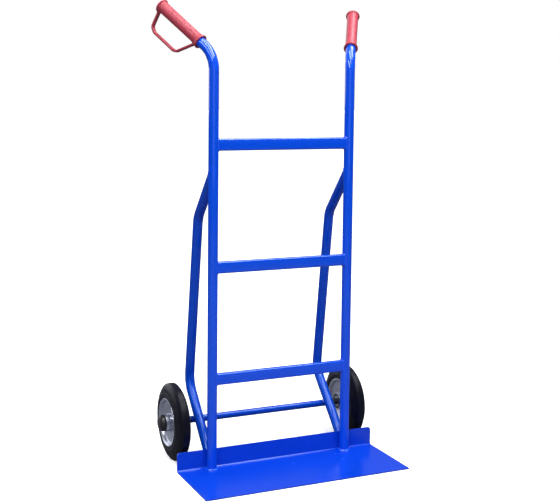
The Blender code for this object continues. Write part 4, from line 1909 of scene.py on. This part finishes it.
class Welds:
    """Every weld bead of the frame, as chains of points that the bead recipe follows."""

    FINE = (1.6 * MM, 0.4)
    HEAVY = (3.3 * MM, 1.1)
    PITCH = 1.3
    SEAM_HEIGHTS = (7, 15, 24, 32, 40, 47)
    SEAM_Y = 12.3 * MM
    SEAM_APART = 5.2 * MM
    FOOT_FROM = math.radians(125)
    FOOT_OVER = math.radians(290)
    FOOT_Z = 3.6 * MM
    FOOT_OUT = 1.2 * MM
    FOOT_UNEVEN = 0.9 * MM
    SEAT = (8.5 * MM, 6.0 * MM)

    def __init__(self, plate: ToePlate, rungs: Rungs, axle: AxleBar) -> None:
        """Keep the parts that are welded together."""
        self.plate, self.rungs, self.axle = plate, rungs, axle

    def rung_ends(self, side: Side, z: float) -> list[Vector]:
        """Follow a rung's end round on the upright's skin.

        Args:
            side: The upright's side.
            z: The rung's height.

        Returns:
            The chain's points.
        """
        rungs = self.rungs
        outline = box_outline(rungs.tall + 1.0 * MM, rungs.deep + 0.6 * MM, rungs.corner, 8)
        out = []
        for dz, y in outline + outline[:4]:
            x = TUBE.half_gap(z + dz) - math.sqrt(TUBE.radius**2 - y**2) - 0.2 * MM
            out.append(Vector((side.value * x, y, z + dz)))
        return out

    def foot(self, side: Side) -> list[Vector]:
        """Follow an upright's foot round, open where the flange is.

        Args:
            side: The upright's side.

        Returns:
            The chain's points.
        """
        out = []
        for i in range(41):
            a = self.FOOT_FROM + self.FOOT_OVER * i / 40
            away = TUBE.radius + self.FOOT_OUT + self.FOOT_UNEVEN * math.sin(5.3 * a + side.value)
            spot = Vector((away * math.cos(a), away * math.sin(a), self.FOOT_Z))
            out.append(TUBE.matrix(side) @ spot)
        return out

    def flange_seams(self, side: Side) -> list[list[Vector]]:
        """Follow the two vertical seams between an upright and the flange.

        Args:
            side: The upright's side.

        Returns:
            The two chains.
        """
        seams = []
        for away in (-self.SEAM_APART, self.SEAM_APART):
            seam = [Vector((away, self.SEAM_Y, z * MM)) for z in self.SEAM_HEIGHTS]
            seams.append([TUBE.matrix(side) @ p for p in seam])
        return seams

    def brace_top(self, side: Side, frame: SideFrame) -> list[Vector]:
        """Follow the saddle where a brace leaves its upright.

        Args:
            side: The side of the truck.
            frame: The side frame with the brace.

        Returns:
            The chain's points.
        """
        (y0, z0), (y1, z1) = frame.brace[:2]
        length = math.hypot(y1 - y0, z1 - z0)
        dy, dz = (y1 - y0) / length, (z1 - z0) / length
        out = []
        for i in range(61):
            a = TAU * i / 60
            x, out_y = TUBE.radius * math.cos(a), TUBE.radius * math.sin(a)
            t = (TUBE.radius * abs(math.sin(a)) + out_y * dz - y0) / dy
            out.append(Vector((x, y0 + t * dy - out_y * dz, z0 + t * dz + out_y * dy)))
        return [TUBE.matrix(side) @ p for p in out]

    def brace_foot(self, side: Side, frame: SideFrame) -> list[Vector]:
        """Follow the oval where a brace's lower end meets the flange's back.

        Args:
            side: The side of the truck.
            frame: The side frame with the brace.

        Returns:
            The chain's points.
        """
        (y0, z0), (y1, z1) = frame.brace[-2:]
        length = math.hypot(y1 - y0, z1 - z0)
        dy, dz = (y1 - y0) / length, (z1 - z0) / length
        back = self.plate.flange_y + self.plate.thick + 0.4 * MM
        out = []
        for i in range(61):
            a = TAU * i / 60
            x, out_y = TUBE.radius * math.cos(a), TUBE.radius * math.sin(a)
            t = (back + out_y * dz - y0) / dy
            spot = Vector((x, back, z0 + t * dz + out_y * dy))
            if spot.z < self.plate.flange_top + 1.0 * MM:
                out.append(TUBE.matrix(side) @ spot)
        return out

    def axle_seat(self, side: Side, frame: SideFrame) -> list[Vector]:
        """Follow the small ring round the spot where a brace touches the axle.

        Args:
            side: The side of the truck.
            frame: The side frame with the brace.

        Returns:
            The chain's points.
        """
        (y0, z0), (y1, z1) = frame.brace[-2:]
        along = Vector((0.0, y1 - y0, z1 - z0)).normalized()
        up = Vector((0.0, -along.z, along.y))
        centre = Vector((side.value * TUBE.half_gap(self.axle.z), self.axle.y, self.axle.z))
        if up.z < 0:
            up = -up
        seat = centre + up * (self.axle.radius + 0.2 * MM)
        wide, long = self.SEAT
        across = Vector((1.0, 0.0, 0.0))
        angles = [TAU * i / 40 for i in range(41)]
        return [seat + across * (wide * math.cos(a)) + along * (long * math.sin(a)) for a in angles]

    def build(self, shop: Workshop, frames: list[SideFrame]) -> None:
        """Make all beads, grouped by how heavy they are.

        Args:
            shop: The workshop.
            frames: The two side frames.
        """
        light, heavy = [], []
        for frame in frames:
            side = frame.side
            light += [self.rung_ends(side, z) for z in self.rungs.heights.values()]
            light += self.flange_seams(side)
            light.append(self.brace_top(side, frame))
            light.append(self.brace_foot(side, frame))
            heavy.append(self.foot(side))
            heavy.append(self.axle_seat(side, frame))
        recipe = WeldRecipe(shop.palette["weld_paint"])
        for name, chains, size in (("fine_welds", light, self.FINE), ("heavy_welds", heavy, self.HEAVY)):
            radius, wobble = size
            made = shop.raw(name, self._chains(chains))
            recipe.run(made, Radius=radius, Wobble=wobble, Pitch=self.PITCH * radius)
            shop.hand_over(made, "weld_paint", "frame")

    def _chains(self, chains: list[list[Vector]]) -> bpy.types.Mesh:
        """Make a mesh of open chains of edges.

        Args:
            chains: The points of each chain.

        Returns:
            The mesh.
        """
        mesh = bpy.data.meshes.new("chains")
        points, edges = [], []
        for chain in chains:
            start = len(points)
            points += chain
            edges += [(i, i + 1) for i in range(start, len(points) - 1)]
        mesh.from_pydata(points, edges, [])
        return mesh


# -------------------------------------------------------------------- studio


@dataclass(frozen=True)
class Softbox:
    """A rectangular area light, given by the radiance of its face."""

    name: str
    place: Vector
    aim: Vector
    wide: float
    tall: float
    radiance: float

    def build(self) -> None:
        """Add the light, turned to face its aim."""
        lamp = bpy.data.lights.new(self.name, "AREA")
        lamp.shape = "RECTANGLE"
        lamp.size, lamp.size_y = self.wide, self.tall
        lamp.energy = self.radiance * math.pi * self.wide * self.tall
        made = bpy.data.objects.new(self.name, lamp)
        made.location = self.place
        made.rotation_euler = (self.aim - self.place).to_track_quat("-Z", "Y").to_euler()
        bpy.context.scene.collection.objects.link(made)


@dataclass
class Studio:
    """The floor, the background, the lights and the camera."""

    floor_half: float = 40.0
    floor_tones: tuple[Colour, Colour] = ((0.9, 0.9, 0.9), (0.93, 0.93, 0.93))
    floor_lift: tuple[float, float] = (0.55, 1.25)
    floor_bounce: Colour = (0.17, 0.175, 0.2)
    horizon: Colour = (0.12, 0.125, 0.15)
    zenith: Colour = (0.3, 0.31, 0.35)
    card: Colour = (1.55, 1.57, 1.66)
    card_way: Vector = field(default_factory=lambda: Vector((-0.43, 0.9, 0.06)).normalized())
    ceiling: float = 2.6
    panels: tuple[tuple[Point2, Point2, float], ...] = (
        ((-2.45, -1.85), (-3.9, -0.3), 14.0),
        ((-0.6, -0.1), (-2.6, 0.1), 11.0),
        ((0.3, 0.98), (-2.0, 0.6), 8.5),
        ((0.98, 1.34), (-1.2, 0.35), 12.0),
    )
    front_place: tuple[float, float, float] = (-1.3, -4.2, 1.2)
    front_aim: tuple[float, float, float] = (0.0, 0.0, 0.55)
    front_size: Point2 = (3.0, 1.8)
    front_radiance: float = 0.5
    camera_place: tuple[float, float, float] = (-1.11322, -2.40203, 0.95266)
    camera_azimuth: float = math.radians(-24.762)
    camera_pitch: float = math.radians(8.7568)
    camera_roll: float = math.radians(0.6206)
    camera_lens: float = 68.545
    camera_sensor: float = 36.0

    def softboxes(self) -> list[Softbox]:
        """List a broad dim light in front and the bright ceiling panels.

        Returns:
            The lights.
        """
        place, aim = Vector(self.front_place), Vector(self.front_aim)
        found = [Softbox("front_softbox", place, aim, *self.front_size, self.front_radiance)]
        for i, ((x0, x1), (y0, y1), radiance) in enumerate(self.panels):
            place = Vector(((x0 + x1) / 2, (y0 + y1) / 2, self.ceiling))
            below = Vector((place.x, place.y, 0.0))
            found.append(Softbox(f"panel_{i}", place, below, x1 - x0, y1 - y0, radiance))
        return found

    def build_world(self) -> None:
        """Make the background: white where it is seen, a grey sweep where it lights."""
        world = bpy.data.worlds.new("studio")
        world.use_nodes = True
        bpy.context.scene.world = world
        world.node_tree.nodes.clear()
        sheet = Sheet(world.node_tree)
        way = sheet.add("ShaderNodeTexCoord").outputs["Generated"]
        up = sheet.add("ShaderNodeSeparateXYZ", {0: way})
        sky = sheet.mix(sheet.smooth(up.outputs["Z"], 0.15, 0.7), self.horizon, self.zenith)
        inputs = {0: way, 1: self.card_way}
        near = sheet.add("ShaderNodeVectorMath", inputs, operation="DOT_PRODUCT").outputs["Value"]
        sky = sheet.mix(sheet.smooth(near, 0.78, 0.9), sky, self.card)
        dim = sheet.add("ShaderNodeBackground", {"Color": sky})
        white = sheet.add("ShaderNodeBackground", {"Color": (1.0, 1.0, 1.0)})
        seen = sheet.add("ShaderNodeLightPath").outputs["Is Camera Ray"]
        both = sheet.add("ShaderNodeMixShader", {0: seen, 1: dim.outputs[0], 2: white.outputs[0]})
        sheet.add("ShaderNodeOutputWorld", {0: both.outputs[0]})

    def build_floor(self) -> None:
        """Make the pale floor."""
        skin = Skin()
        h = self.floor_half
        rows = [skin.row([Vector((x, y, 0.0)) for x in (-h, h)], y, 2 * h) for y in (-h, h)]
        skin.join(rows[0], rows[1], False)
        mesh = skin.finish()
        mesh.name = "floor"
        floor = bpy.data.objects.new("floor", mesh)
        bpy.context.scene.collection.objects.link(floor)
        material = bpy.data.materials.new("pale_floor")
        material.use_nodes = True
        sheet = Sheet(material.node_tree)
        shader = material.node_tree.nodes["Principled BSDF"]
        place = sheet.add("ShaderNodeTexCoord").outputs["Object"]
        tone = sheet.mix(sheet.noise(place, 0.4, 2.0), *self.floor_tones)
        sheet.feed(shader.inputs["Base Color"], tone)
        sheet.feed(shader.inputs["Emission Color"], tone)
        far = sheet.add("ShaderNodeVectorMath", {0: place}, operation="LENGTH").outputs["Value"]
        sheet.feed(shader.inputs["Emission Strength"], sheet.smooth(far, 0.5, 2.2, self.floor_lift))
        shader.inputs["Roughness"].default_value = 0.8
        shader.inputs["Specular IOR Level"].default_value = 0.1
        dull = sheet.add("ShaderNodeBsdfDiffuse", {"Color": self.floor_bounce})
        seen = sheet.add("ShaderNodeLightPath").outputs["Is Camera Ray"]
        both = sheet.add("ShaderNodeMixShader", {0: seen, 1: dull.outputs[0], 2: shader.outputs[0]})
        sheet.feed(material.node_tree.nodes["Material Output"].inputs["Surface"], both.outputs[0])
        mesh.materials.append(material)
        floor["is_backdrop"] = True

    def build_camera(self) -> None:
        """Place the camera."""
        azimuth, pitch, roll = self.camera_azimuth, self.camera_pitch, self.camera_roll
        level = Vector((math.cos(azimuth), math.sin(azimuth), 0.0))
        forward = Vector((-math.sin(azimuth), math.cos(azimuth), 0.0))
        ahead = forward * math.cos(pitch) - Vector((0.0, 0.0, math.sin(pitch)))
        top = level.cross(ahead)
        right = level * math.cos(roll) + top * math.sin(roll)
        up = top * math.cos(roll) - level * math.sin(roll)
        turn = Matrix((right, up, -ahead)).transposed().to_4x4()
        data = bpy.data.cameras.new("camera")
        data.lens = self.camera_lens
        data.sensor_width = self.camera_sensor
        made = bpy.data.objects.new("camera", data)
        made.matrix_world = Matrix.Translation(self.camera_place) @ turn
        bpy.context.scene.collection.objects.link(made)
        bpy.context.scene.camera = made

    def build(self) -> None:
        """Make the whole studio."""
        bpy.context.scene.view_settings.view_transform = "Standard"
        self.build_world()
        self.build_floor()
        softboxes = self.softboxes()
        for softbox in softboxes:
            softbox.build()
        self.build_camera()
        log.info("studio: floor, background, %d lights and camera", len(softboxes))


# --------------------------------------------------------------------- truck


class HandTruck:
    """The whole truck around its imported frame."""

    def __init__(self) -> None:
        """Load the frame and set out the sub-assemblies."""
        self.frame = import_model()
        self.cad_box = self._box()
        self.shop = Workshop(Palette())
        self.side_frames = [SideFrame(side) for side in Side]
        self.rungs, self.plate, self.axle = Rungs(), ToePlate(), AxleBar()

    def _box(self) -> list[list[float]]:
        """Return the shown object's box as plain lists."""
        return [list(corner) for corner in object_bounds()]

    def build(self) -> None:
        """Build and dress every sub-assembly in order."""
        for side_frame in self.side_frames:
            side_frame.build_upright(self.shop)
            side_frame.build_brace(self.shop)
            Grip(side_frame.side, side_frame).build(self.shop)
        self.rungs.build(self.shop)
        self.plate.build(self.shop)
        self.axle.build(self.shop)
        Welds(self.plate, self.rungs, self.axle).build(self.shop, self.side_frames)
        for side in Side:
            Wheel(side, self.axle).build(self.shop)


def main() -> None:
    """Build the truck and its studio."""
    logging.basicConfig(level=logging.INFO, format="%(message)s")
    truck = HandTruck()
    truck.build()
    Studio().build()


if __name__ == "__main__":
    main()
